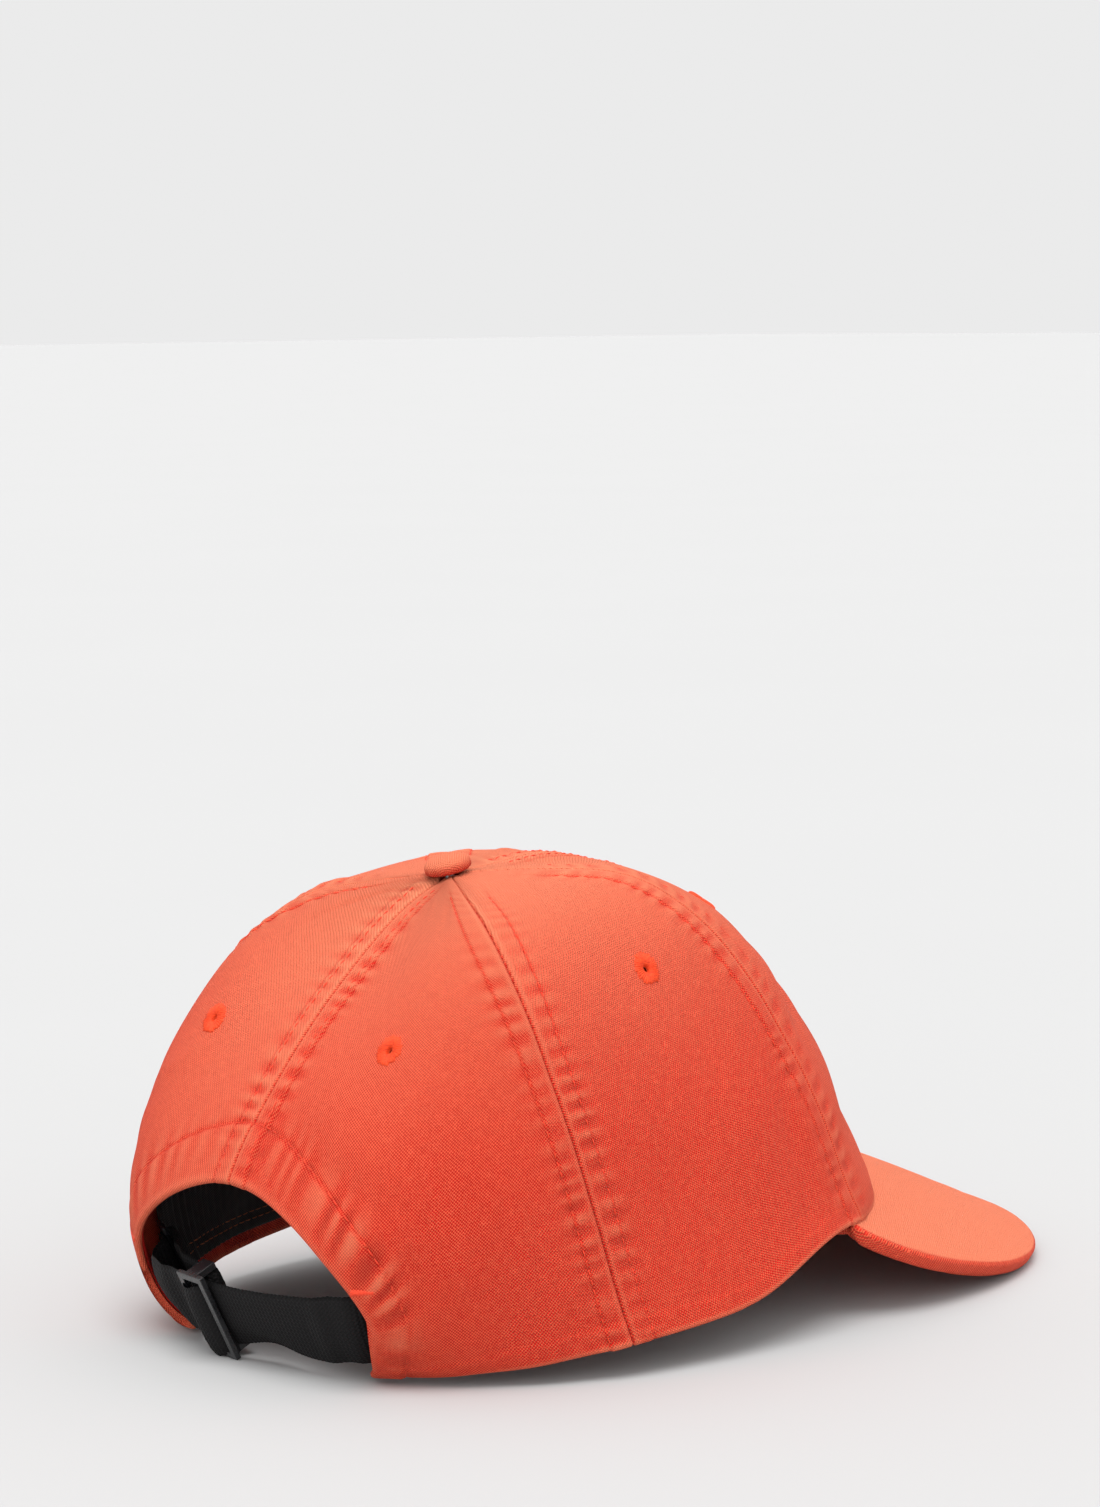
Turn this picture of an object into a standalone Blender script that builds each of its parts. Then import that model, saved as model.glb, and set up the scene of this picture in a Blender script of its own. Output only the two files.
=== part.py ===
"""A soft six-panel cotton cap with a curved visor and a webbing strap closure.

Units are metres, +Z is up and the visor points along -Y.  The crown is worked
out in its own frame, whose z = 0 is the plane of the rim.  An empty then tips
that frame back so that the cap stands on its rear rim and its visor, as it
does on a table.

Angles round the crown are in degrees from the middle of the front: positive
on the wearer's left (+X), and 180 at the middle of the back.  A height on the
crown is t, from 0 at the rim to 1 at the button.
"""

import math

import bmesh
import bpy
import numpy as np
from mathutils import Matrix, Vector

# Rim and crown
HALF_WIDTH = 0.0846
HALF_LENGTH_FRONT = 0.0916
HALF_LENGTH_REAR = 0.0930
RIM_SQUARENESS = 2.45
CROWN_HEIGHT = 0.1098
BUTTON_SETBACK = 0.0120
REAR_RIM_RISE = 0.0010
PROFILE_REACH = (0.86, 0.63, 0.52, 0.70, 1.25)  # front, then every 45 degrees to the back
PROFILE_RISE = (0.85, 1.14, 1.26, 1.23, 1.63)
FRONT_FULLNESS = -0.03
SIDE_FULLNESS = -0.065
REAR_FULLNESS = 0.41
PANEL_THICKNESS = 0.0010
BUTTON_HOLE_RADIUS = 0.0036

# Seams: angle at the rim and at the button
REAR_SEAM = (180.0, 180.0)
REAR_SIDE_SEAM = (110.0, 124.5)
FRONT_SIDE_SEAM = (61.0, 58.5)
FRONT_SEAM = (0.0, 0.0)
SEAM_GAP = 0.0004
TAPE_WIDTH = 0.0100
TAPE_DEPTH = 0.0018
TAPE_THICKNESS = 0.0005
TAPE_TOP_RADIUS = 0.0080

# Rear opening
ARCH_HALF_ANGLE = 25.3
ARCH_SHOULDER = 0.160
ARCH_TOP = 0.4166
ARCH_SQUARENESS = 1.65
ARCH_FOOT_PINCH = 0.10
ARCH_LEG_SHARE = 0.30
FACING_WIDTH = 0.0100
FACING_DEPTH = 0.0022
FACING_THICKNESS = 0.0005
MM_PER_DEGREE = 1.65
MM_PER_HEIGHT = 122.0

# Visor
VISOR_REACH = 0.0740
VISOR_HALF_WIDTH = 0.0860
VISOR_HALF_ANGLE = 63.0
VISOR_OUTLINE = 0.795
VISOR_RIM_HEIGHT = 0.0100
VISOR_CURVE = 4.2
VISOR_SLOPE = 0.52
VISOR_SAG = 0.45
VISOR_DROP = 0.0009
VISOR_TUCK = 0.06
VISOR_BOARD_MARGIN = 0.0025

# Sweatband
SWEATBAND_END_ANGLE = 138.0
SWEATBAND_LOW = 0.0050
SWEATBAND_HIGH = 0.0370
SWEATBAND_DEPTH = 0.0029
SWEATBAND_THICKNESS = 0.0009

# Strap closure: the strap lies on a cone about a vertical axis behind the crown's middle
STRAP_WIDTH = 0.0210
STRAP_THICKNESS = 0.0012
STRAP_RADIUS = 0.1080
STRAP_AXIS_Y = -0.0080
STRAP_MIDDLE_HEIGHT = 0.0137
STRAP_LEAN = 18.0
STRAP_TUCK = 0.0045
STRAP_TUCK_START = 0.0300
STRAP_TUCK_LENGTH = 0.0140
STRAP_RIGHT_END = -0.0520
STRAP_TURN = 0.0490
STRAP_TURN_RADIUS = 0.0019
STRAP_RETURN_END = 0.0300
BUCKLE_REST = 0.0108

# Buckle
BUCKLE_HALF_WIDTH = 0.0057
BUCKLE_HALF_HEIGHT = 0.01275
BUCKLE_RAIL_START = 0.0109
BUCKLE_WINDOW = 0.0036
BUCKLE_FRONT = (0.0015, 0.0029)
BUCKLE_BACK = -0.0043
BUCKLE_STEP = 0.0026
MIDDLE_BAR_OFFSET = -0.0033
MIDDLE_BAR_RADIUS = 0.0010
LOOP_RADII = (0.0013, 0.0023)
LOOP_TAIL_END = 0.0060

# Eyelets: angle and height on the crown
EYELETS = {"front": (29.0, 0.60), "side": (87.9, 0.62), "rear": (152.5, 0.594)}
EYELET_HOLE_RADIUS = 0.0030
EYELET_BORE_RADIUS = 0.0012
EYELET_FLANGE_RADIUS = 0.0042

# Placing the cap on the table
TILT = 8.35
FRAME_SHIFT_Y = 0.0294
FRAME_LIFT = 0.01366

CAP = bpy.data.collections.new("six_panel_cap")
CUTTERS = bpy.data.collections.new("cutters")
ANGLE_NODES = np.radians([0.0, 45.0, 90.0, 135.0, 180.0])
COSINES = np.linalg.inv(np.cos(np.outer(ANGLE_NODES, np.arange(5))))
REACH_SERIES = COSINES @ np.array(PROFILE_REACH)
RISE_SERIES = COSINES @ np.array(PROFILE_RISE)


# ---------------------------------------------------------------- crown form


def smoothstep(x):
    x = min(max(x, 0.0), 1.0)
    return x * x * (3 - 2 * x)


def signed_power(x, power):
    return math.copysign(abs(x) ** power, x)


def around(series, theta):
    """A value that changes smoothly from front to back and is equal on both sides."""
    angle = math.radians(theta)
    return sum(float(c) * math.cos(k * angle) for k, c in enumerate(series))


def visor_height(x, y):
    behind = y + HALF_LENGTH_FRONT
    return VISOR_RIM_HEIGHT - VISOR_CURVE * x * x + VISOR_SLOPE * behind - VISOR_SAG * behind**2


def rim_point(theta):
    c, s = math.cos(math.radians(theta)), math.sin(math.radians(theta))
    length = HALF_LENGTH_FRONT if c > 0 else HALF_LENGTH_REAR
    x = HALF_WIDTH * signed_power(s, 2 / RIM_SQUARENESS)
    y = -length * signed_power(c, 2 / RIM_SQUARENESS)
    behind_visor = smoothstep((abs(theta) - 62) / 30)
    z = visor_height(x, y) * (1 - behind_visor) + REAR_RIM_RISE * max(-c, 0) ** 2
    return Vector((x, y, z))


def fullness(theta):
    c = math.cos(math.radians(theta))
    front = (FRONT_FULLNESS - SIDE_FULLNESS) * max(c, 0) ** 2
    rear = (REAR_FULLNESS - SIDE_FULLNESS) * max(-c, 0) ** 2
    return SIDE_FULLNESS + front + rear


def crown_point(theta, t):
    rim = rim_point(theta)
    u = min(max(t, 0.0), 0.99999) * math.pi / 2
    reach = math.cos(u) ** around(REACH_SERIES, theta) * (1 + fullness(theta) * math.sin(2 * u))
    rise = math.sin(u) ** around(RISE_SERIES, theta)
    y = BUTTON_SETBACK + (rim.y - BUTTON_SETBACK) * reach
    return Vector((rim.x * reach, y, rim.z + (CROWN_HEIGHT - rim.z) * rise))


def crown_inside(theta, t, depth):
    """The point at a depth below the crown's outer face, measured square to it."""
    t = min(max(t, 0.002), 0.9995)
    turn = crown_point(theta + 0.2, t) - crown_point(theta - 0.2, t)
    climb = crown_point(theta, t + 0.0004) - crown_point(theta, t - 0.0004)
    return crown_point(theta, t) - turn.cross(climb).normalized() * depth


def height_to_t(theta, height):
    rise = height / (CROWN_HEIGHT - rim_point(theta).z)
    return math.asin(rise ** (1 / around(RISE_SERIES, theta))) * 2 / math.pi


def radius_to_t(theta, radius):
    """The height at which the crown has closed in to a small radius round the button."""
    rim = rim_point(theta)
    full = math.hypot(rim.x, rim.y - BUTTON_SETBACK)
    return math.acos((radius / full) ** (1 / around(REACH_SERIES, theta))) * 2 / math.pi


def bunched(theta, s, low, high):
    """Heights that crowd towards the button, where the crown turns over and flattens."""
    power = 1 / around(REACH_SERIES, theta)
    return min(low + (high - low) * (1 - (1 - s) ** power) / (1 - 0.015 ** power), high)


def seam_angle(seam, t):
    return seam[0] + (seam[1] - seam[0]) * t


def arch_edge(a):
    """The rear opening's edge: a = 0 at the foot of its leg and 1 at its top."""
    if a < ARCH_LEG_SHARE:
        t = ARCH_SHOULDER * a / ARCH_LEG_SHARE
        pinch = ARCH_FOOT_PINCH * (1 - t / ARCH_SHOULDER) ** 2
        return ARCH_HALF_ANGLE * (1 - pinch), t
    phi = (a - ARCH_LEG_SHARE) / (1 - ARCH_LEG_SHARE) * math.pi / 2
    half = ARCH_HALF_ANGLE * max(math.cos(phi), 0) ** (2 / ARCH_SQUARENESS)
    return half, ARCH_SHOULDER + (ARCH_TOP - ARCH_SHOULDER) * math.sin(phi) ** (2 / ARCH_SQUARENESS)


def panel_foot(first, last, w):
    """Angle and height of a panel's lower edge at the fraction w from its first seam."""
    if last is not REAR_SEAM:
        return first[0] + (last[0] - first[0]) * w, 0.0
    leg = 180.0 - arch_edge(0.0)[0]
    corner = 0.46
    if w < corner:
        return first[0] + (leg - first[0]) * w / corner, 0.0
    half, t = arch_edge((w - corner) / (1 - corner))
    return 180.0 - half, t


def panel_place(first, last, w, s):
    """Angle and height of a panel's grid point, with a gap left along both seams."""
    foot_angle, foot_t = panel_foot(first, last, w)
    t = bunched(foot_angle, s, foot_t, radius_to_t(foot_angle, BUTTON_HOLE_RADIUS))
    even = seam_angle(first, t) + (seam_angle(last, t) - seam_angle(first, t)) * w
    even_foot = seam_angle(first, foot_t) + (seam_angle(last, foot_t) - seam_angle(first, foot_t)) * w
    theta = even + (foot_angle - even_foot) * (1 - s) ** 2
    point = crown_point(theta, t)
    radius = max(math.hypot(point.x, point.y - BUTTON_SETBACK), BUTTON_HOLE_RADIUS)
    return theta + math.degrees(SEAM_GAP / radius) * (1 - 2 * w), t


# ---------------------------------------------------------------- making objects


def material(name, colour, roughness, metallic=0.0):
    made = bpy.data.materials.new(name)
    made.use_nodes = True
    shader = made.node_tree.nodes["Principled BSDF"]
    shader.inputs["Base Color"].default_value = (*colour, 1.0)
    shader.inputs["Roughness"].default_value = roughness
    shader.inputs["Metallic"].default_value = metallic
    return made


def place(obj, look, parent):
    if look is not None:
        obj.data.materials.append(look)
        CAP.objects.link(obj)
    else:
        obj.hide_render = True
        obj.display_type = "WIRE"
        CUTTERS.objects.link(obj)
    obj.parent = parent
    return obj


def from_bmesh(name, bm, look, parent):
    mesh = bpy.data.meshes.new(name)
    bm.to_mesh(mesh)
    bm.free()
    return place(bpy.data.objects.new(name, mesh), look, parent)


def smooth(obj, angle=40.0):
    obj.data.shade_smooth()
    obj.data.set_sharp_from_angle(angle=math.radians(angle))


def sheet(name, point, columns, rows, thickness, look, parent, inner_side=Vector((0, 0, 0.03))):
    """A lofted open grid of points, thickened towards the side where inner_side lies."""
    bm = bmesh.new()
    grid = [[bm.verts.new(point(i / columns, j / rows)) for j in range(rows + 1)] for i in range(columns + 1)]
    for i in range(columns):
        for j in range(rows):
            bm.faces.new([grid[i][j], grid[i + 1][j], grid[i + 1][j + 1], grid[i][j + 1]])
    bm.normal_update()
    bm.faces.ensure_lookup_table()
    middle = bm.faces[columns // 2 * rows + rows // 2]
    if middle.normal.dot(middle.calc_center_median() - inner_side) < 0:
        bmesh.ops.reverse_faces(bm, faces=bm.faces)
    obj = from_bmesh(name, bm, look, parent)
    smooth(obj)
    thicken = obj.modifiers.new("thickness", "SOLIDIFY")
    thicken.thickness = thickness
    thicken.offset = -1
    obj.modifiers.new("flat_facets", "TRIANGULATE")
    return obj


def turned(name, profile, look, parent, steps=24):
    """A closed or axis-to-axis profile of (radius, height) points, turned round +Z."""
    bm = bmesh.new()
    verts = [bm.verts.new((radius, 0, height)) for radius, height in profile]
    for a, b in zip(verts, verts[1:]):
        bm.edges.new((a, b))
    if profile[0][0] > 0:
        bm.edges.new((verts[-1], verts[0]))
    obj = from_bmesh(name, bm, look, parent)
    screw = obj.modifiers.new("turn", "SCREW")
    screw.steps = screw.render_steps = steps
    screw.use_merge_vertices = True
    screw.merge_threshold = 0.00001
    screw.use_smooth_shade = True
    return obj


def block(name, low, high, look, parent):
    size = Vector(high) - Vector(low)
    bm = bmesh.new()
    bmesh.ops.create_cube(bm, size=1.0)
    centre = (Vector(high) + Vector(low)) / 2
    bmesh.ops.transform(bm, matrix=Matrix.Translation(centre) @ Matrix.Diagonal((*size, 1)), verts=bm.verts)
    return from_bmesh(name, bm, look, parent)


def rod(name, radius, low, high, centre_y, look, parent, sides=16):
    bm = bmesh.new()
    bmesh.ops.create_cone(bm, cap_ends=True, segments=sides, radius1=radius, radius2=radius, depth=high - low)
    bmesh.ops.translate(bm, vec=(0, centre_y, (high + low) / 2), verts=bm.verts)
    return from_bmesh(name, bm, look, parent)


def cut(obj, cutter, operation="DIFFERENCE"):
    boolean = obj.modifiers.new(cutter.name, "BOOLEAN")
    boolean.operation = operation
    boolean.solver = "EXACT"
    boolean.object = cutter


# ---------------------------------------------------------------- crown pieces


def make_panel(name, first, last, side, look, parent):
    def point(w, s):
        theta, t = panel_place(first, last, w, s)
        return crown_point(side * theta, t)

    columns = 18 if last is REAR_SEAM else 9
    return sheet(name, point, columns, 10, PANEL_THICKNESS, look, parent)


def make_tape(name, seam, side, look, parent):
    low = height_to_t(seam[0], 0.0015) if seam is not REAR_SEAM else ARCH_TOP + 0.10

    def point(w, s):
        centre_t = bunched(seam[1], s, low, radius_to_t(seam[1], TAPE_TOP_RADIUS))
        centre = crown_point(seam_angle(seam, centre_t), centre_t)
        radius = math.hypot(centre.x, centre.y - BUTTON_SETBACK)
        spread = min(math.degrees(TAPE_WIDTH / radius), 42.0)
        theta = side * (seam_angle(seam, centre_t) + spread * (w - 0.5))
        return crown_inside(theta, centre_t, TAPE_DEPTH)

    return sheet(name, point, 2, 12, TAPE_THICKNESS, look, parent)


def make_eyelet(name, panel, angle, t, look, parent):
    frame = bpy.data.objects.new(name + "_seat", None)
    CAP.objects.link(frame)
    frame.parent = parent
    outward = crown_point(angle, t) - crown_inside(angle, t, 1.0)
    frame.location = crown_point(angle, t)
    frame.rotation_mode = "QUATERNION"
    frame.rotation_quaternion = outward.to_track_quat("Z", "Y")
    hole = rod(name + "_hole", EYELET_HOLE_RADIUS, -0.004, 0.004, 0.0, None, frame, sides=24)
    cut(panel, hole)
    barrel = EYELET_HOLE_RADIUS - 0.0003
    profile = [
        (EYELET_BORE_RADIUS, 0.0009),
        (EYELET_BORE_RADIUS + 0.0008, 0.0014),
        (EYELET_FLANGE_RADIUS - 0.0006, 0.0012),
        (EYELET_FLANGE_RADIUS, 0.0006),
        (barrel, 0.0006),
        (barrel, -0.0012),
        (EYELET_BORE_RADIUS, -0.0012),
    ]
    turned(name, profile, look, frame, steps=20)


def make_arch_facing(look, parent):
    def edge_in_mm(a):
        half, t = arch_edge(a)
        return Vector((half * MM_PER_DEGREE, t * MM_PER_HEIGHT))

    def point(w, s):
        along = 2 * w - 1
        a = min(1 - abs(along), 0.9999)
        step = 0.004
        tangent = edge_in_mm(min(a + step, 1)) - edge_in_mm(max(a - step, 0))
        tangent.normalize()
        outward = Vector((tangent.y, -tangent.x))
        place_mm = edge_in_mm(a) + outward * (0.4 + s * FACING_WIDTH * 1000)
        half = math.copysign(max(place_mm.x, 0) / MM_PER_DEGREE, along) if abs(along) > 1e-6 else 0.0
        t = max(place_mm.y / MM_PER_HEIGHT, 0.008)
        return crown_inside(180.0 - half, t, FACING_DEPTH)

    return sheet("arch_facing", point, 36, 1, FACING_THICKNESS, look, parent)


def make_sweatband(look, parent):
    def point(w, s):
        theta = SWEATBAND_END_ANGLE * (2 * w - 1)
        t = height_to_t(theta, SWEATBAND_LOW + (SWEATBAND_HIGH - SWEATBAND_LOW) * s)
        return crown_inside(theta, t, SWEATBAND_DEPTH)

    return sheet("sweatband", point, 36, 2, SWEATBAND_THICKNESS, look, parent)


def make_button(cloth, steel, parent):
    seat = bpy.data.objects.new("button_seat", None)
    CAP.objects.link(seat)
    seat.parent = parent
    seat.location = (0, BUTTON_SETBACK, CROWN_HEIGHT)

    def dome(radius, low, high, count):
        angles = [math.pi / 2 * k / count for k in range(count + 1)]
        return [(radius * math.sin(a), low + (high - low) * math.cos(a)) for a in angles]

    cover = dome(0.0065, 0.0020, 0.0053, 7) + [(0.0061, 0.0006), (0.0050, 0.0006), (0.0050, 0.0011)]
    cover += dome(0.0057, 0.0020, 0.0046, 7)[::-1]
    turned("top_button_cover", cover, cloth, seat)
    turned("top_button_shell", dome(0.0053, 0.0020, 0.0042, 6) + [(0.0046, 0.0014), (0, 0.0014)], steel, seat)
    rivet = [(0, 0.0010), (0.0013, 0.0008), (0.0013, -0.0032), (0.0052, -0.0034), (0.0052, -0.0042), (0, -0.0042)]
    turned("top_button_rivet", rivet, steel, seat)


# ---------------------------------------------------------------- visor


def visor_point(u, v, depth):
    theta = u * VISOR_HALF_ANGLE
    rim = rim_point(theta)
    side_y = -HALF_LENGTH_FRONT * math.cos(math.radians(VISOR_HALF_ANGLE))
    edge_x = VISOR_HALF_WIDTH * math.sin(u * math.pi / 2)
    edge_y = side_y - (HALF_LENGTH_FRONT + VISOR_REACH + side_y) * max(math.cos(u * math.pi / 2), 0) ** VISOR_OUTLINE
    out = v * (1 - 0.9 * abs(u) ** 20)
    x, y = rim.x + (edge_x - rim.x) * out, rim.y + (edge_y - rim.y) * out
    slope = VISOR_SLOPE - 2 * VISOR_SAG * (y + HALF_LENGTH_FRONT)
    normal = Vector((2 * VISOR_CURVE * x, -slope, 1)).normalized()
    return Vector((x, y, visor_height(x, y))) - normal * depth


def make_visor(cloth, board, parent):
    def layer(name, depth, thickness, margin, look):
        share = margin / VISOR_REACH

        def point(w, s):
            v = -VISOR_TUCK + (1 - share + VISOR_TUCK) * s
            return visor_point((2 * w - 1) * (0.985 - share), v, depth)

        return sheet(name, point, 20, 4, thickness, look, parent, inner_side=Vector((0, -0.12, -0.5)))

    layer("visor_top_cover", VISOR_DROP, 0.0009, 0.0, cloth)
    layer("visor_board", VISOR_DROP + 0.0012, 0.0016, VISOR_BOARD_MARGIN, board)
    layer("visor_under_cover", VISOR_DROP + 0.0031, 0.0009, 0.0, cloth)


# ---------------------------------------------------------------- strap closure


def strap_place(along, out, up):
    """Strap coordinates: along its arc (+ to the wearer's left), out from it, up its width."""
    lean = math.radians(STRAP_LEAN)
    angle = along / STRAP_RADIUS
    radius = STRAP_RADIUS + up * math.sin(lean) + out * math.cos(lean)
    height = STRAP_MIDDLE_HEIGHT + up * math.cos(lean) - out * math.sin(lean)
    return Vector((radius * math.sin(angle), STRAP_AXIS_Y + radius * math.cos(angle), height))


def tuck(along):
    """How far the strap bends inwards where it lies hidden inside a leg."""
    return -STRAP_TUCK * smoothstep((abs(along) - STRAP_TUCK_START) / STRAP_TUCK_LENGTH)


def band(name, route, half_width, thickness, look, parent):
    """Webbing swept along a route of (along, out) points, its width across the strap."""
    bm = bmesh.new()
    rows = []
    for k in range(len(route)):
        before, after = route[max(k - 1, 0)], route[min(k + 1, len(route) - 1)]
        tangent = Vector((after[0] - before[0], after[1] - before[1])).normalized()
        side = Vector((-tangent.y, tangent.x)) * thickness / 2
        along, out = route[k]
        outer, inner = (along + side.x, out + side.y), (along - side.x, out - side.y)
        ring = [(*outer, half_width), (*inner, half_width), (*inner, -half_width), (*outer, -half_width)]
        rows.append([bm.verts.new(strap_place(*corner)) for corner in ring])
    for first, second in zip(rows, rows[1:]):
        for k in range(4):
            bm.faces.new([first[k], first[(k + 1) % 4], second[(k + 1) % 4], second[k]])
    bm.faces.new(rows[0][::-1])
    bm.faces.new(rows[-1])
    bmesh.ops.recalc_face_normals(bm, faces=bm.faces)
    obj = from_bmesh(name, bm, look, parent)
    smooth(obj)
    return obj


def steps(low, high, count):
    return [low + (high - low) * k / count for k in range(count + 1)]


def strap_route():
    """From the right leg across the opening, round the ring's bar and back inside."""
    run = [(x, tuck(x)) for x in steps(STRAP_RIGHT_END, STRAP_TURN, 26)]
    centre_out = tuck(STRAP_TURN) - STRAP_TURN_RADIUS
    for angle in steps(math.radians(75), math.radians(-75), 6):
        turn = (STRAP_TURN + STRAP_TURN_RADIUS * math.cos(angle), centre_out + STRAP_TURN_RADIUS * math.sin(angle))
        run.append(turn)
    inner = 2 * STRAP_TURN_RADIUS
    deeper = 0.0008
    run += [(x, tuck(x) - inner - deeper * smoothstep((STRAP_TURN - x) / 0.006))
            for x in steps(STRAP_TURN, STRAP_RETURN_END, 5)]
    return run


def make_ring(look, parent):
    """A flat wire ring inside the left leg that the strap turns round."""
    middle_out = tuck(STRAP_TURN) - STRAP_TURN_RADIUS
    near, far, corner = STRAP_TURN, STRAP_TURN + 0.0050, 0.0008
    top = STRAP_WIDTH / 2 + 0.0016
    outline = [
        (near, top - corner), (near + corner, top), (far - corner, top), (far, top - corner),
        (far, corner - top), (far - corner, -top), (near + corner, -top), (near, corner - top),
    ]
    curve = bpy.data.curves.new("strap_ring", "CURVE")
    curve.dimensions = "3D"
    spline = curve.splines.new("POLY")
    spline.points.add(len(outline) - 1)
    for point, (along, up) in zip(spline.points, outline):
        point.co = (*strap_place(along, middle_out, up), 1)
    spline.use_cyclic_u = True
    curve.bevel_depth = 0.0007
    curve.bevel_resolution = 2
    return place(bpy.data.objects.new("strap_ring", curve), look, parent)


def make_ring_tab(look, parent):
    """A short fold of tape that holds the ring to the inside of the left leg."""
    middle_out = tuck(STRAP_TURN) - STRAP_TURN_RADIUS
    bar = STRAP_TURN + 0.0050
    radius = 0.0016
    route = [(bar + 0.0050, middle_out + radius)]
    for angle in steps(math.radians(90), math.radians(270), 8):
        route.append((bar + radius * math.cos(angle), middle_out + radius * math.sin(angle)))
    route.append((bar + 0.0050, middle_out - radius))
    return band("ring_tab", route, STRAP_WIDTH / 2 - 0.0030, 0.0008, look, parent)


def slider_frame(name, parent, out):
    """An empty on the strap at the buckle: +X along the strap, +Y outwards, +Z up its width."""
    frame = bpy.data.objects.new(name, None)
    CAP.objects.link(frame)
    frame.parent = parent
    origin = strap_place(BUCKLE_REST, out, 0.0)
    x_axis = (strap_place(BUCKLE_REST + 0.001, out, 0.0) - origin).normalized()
    z_axis = (strap_place(BUCKLE_REST, out, 0.001) - origin).normalized()
    y_axis = z_axis.cross(x_axis)
    rotation = Matrix((x_axis, y_axis, z_axis)).transposed().to_4x4()
    frame.matrix_local = Matrix.Translation(origin) @ rotation
    return frame


def make_buckle(look, parent):
    """A three-bar slide: side bars in front of the strap, and the middle bar behind it."""
    bar = MIDDLE_BAR_OFFSET
    front = BUCKLE_FRONT[1] - bar
    side_back = BUCKLE_FRONT[0] - bar
    back = BUCKLE_BACK - bar
    width, height = BUCKLE_HALF_WIDTH, BUCKLE_HALF_HEIGHT
    far = 0.02
    buckle = block("buckle", (-width, back, -height), (width, front, height), look, parent)
    rail = BUCKLE_RAIL_START
    strap_way = block("strap_way", (-far, back - 0.001, -rail), (far, side_back, rail), None, parent)
    window = block("window", (-BUCKLE_WINDOW, back - 0.002, -rail), (BUCKLE_WINDOW, far, rail), None, parent)
    cut(buckle, strap_way)
    cut(buckle, window)
    for side in (-1, 1):
        ends = sorted((side * BUCKLE_STEP, side * far))
        corner = block("back_corner", (ends[0], back - 0.003, -far), (ends[1], side_back, far), None, parent)
        cut(buckle, corner)
    middle = rod("middle_bar", MIDDLE_BAR_RADIUS, -rail - 0.001, rail + 0.001, 0.0, None, parent)
    cut(buckle, middle, "UNION")
    rounding = buckle.modifiers.new("rounding", "BEVEL")
    rounding.width = 0.0004
    rounding.segments = 2
    rounding.limit_method = "ANGLE"
    rounding.angle_limit = math.radians(50)
    return buckle


def make_end_loop(look, parent):
    """The strap's sewn end: a loop round the middle bar, and its tail behind the strap."""
    middle = sum(LOOP_RADII) / 2
    thickness = LOOP_RADII[1] - LOOP_RADII[0]
    bar_out = MIDDLE_BAR_OFFSET
    route = []
    for angle in steps(math.radians(50), math.radians(270), 14):
        along = BUCKLE_REST + middle * math.cos(angle)
        route.append((along, bar_out + middle * math.sin(angle)))
    for along in steps(0.0015, LOOP_TAIL_END, 5):
        route.append((BUCKLE_REST + along, bar_out - middle + 0.0010 * smoothstep(along / 0.008)))
    return band("strap_end_loop", route, STRAP_WIDTH / 2, thickness, look, parent)


def make_bartack(name, side, look, parent):
    theta, t = side * 155.5, 0.245
    seat = bpy.data.objects.new(name + "_seat", None)
    CAP.objects.link(seat)
    seat.parent = parent
    outward = (crown_point(theta, t) - crown_inside(theta, t, 1.0)).normalized()
    up = Vector((0, 0, 1))
    x_axis = outward.cross(up).normalized()
    rotation = Matrix((x_axis, outward, x_axis.cross(outward))).transposed().to_4x4()
    seat.matrix_local = Matrix.Translation(crown_point(theta, t)) @ rotation
    tack = block(name, (-0.0032, 0.0007, -0.0010), (0.0032, 0.0013, 0.0010), look, seat)
    rounding = tack.modifiers.new("rounding", "BEVEL")
    rounding.width = 0.0002
    rounding.segments = 2


# ---------------------------------------------------------------- assembly


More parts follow.
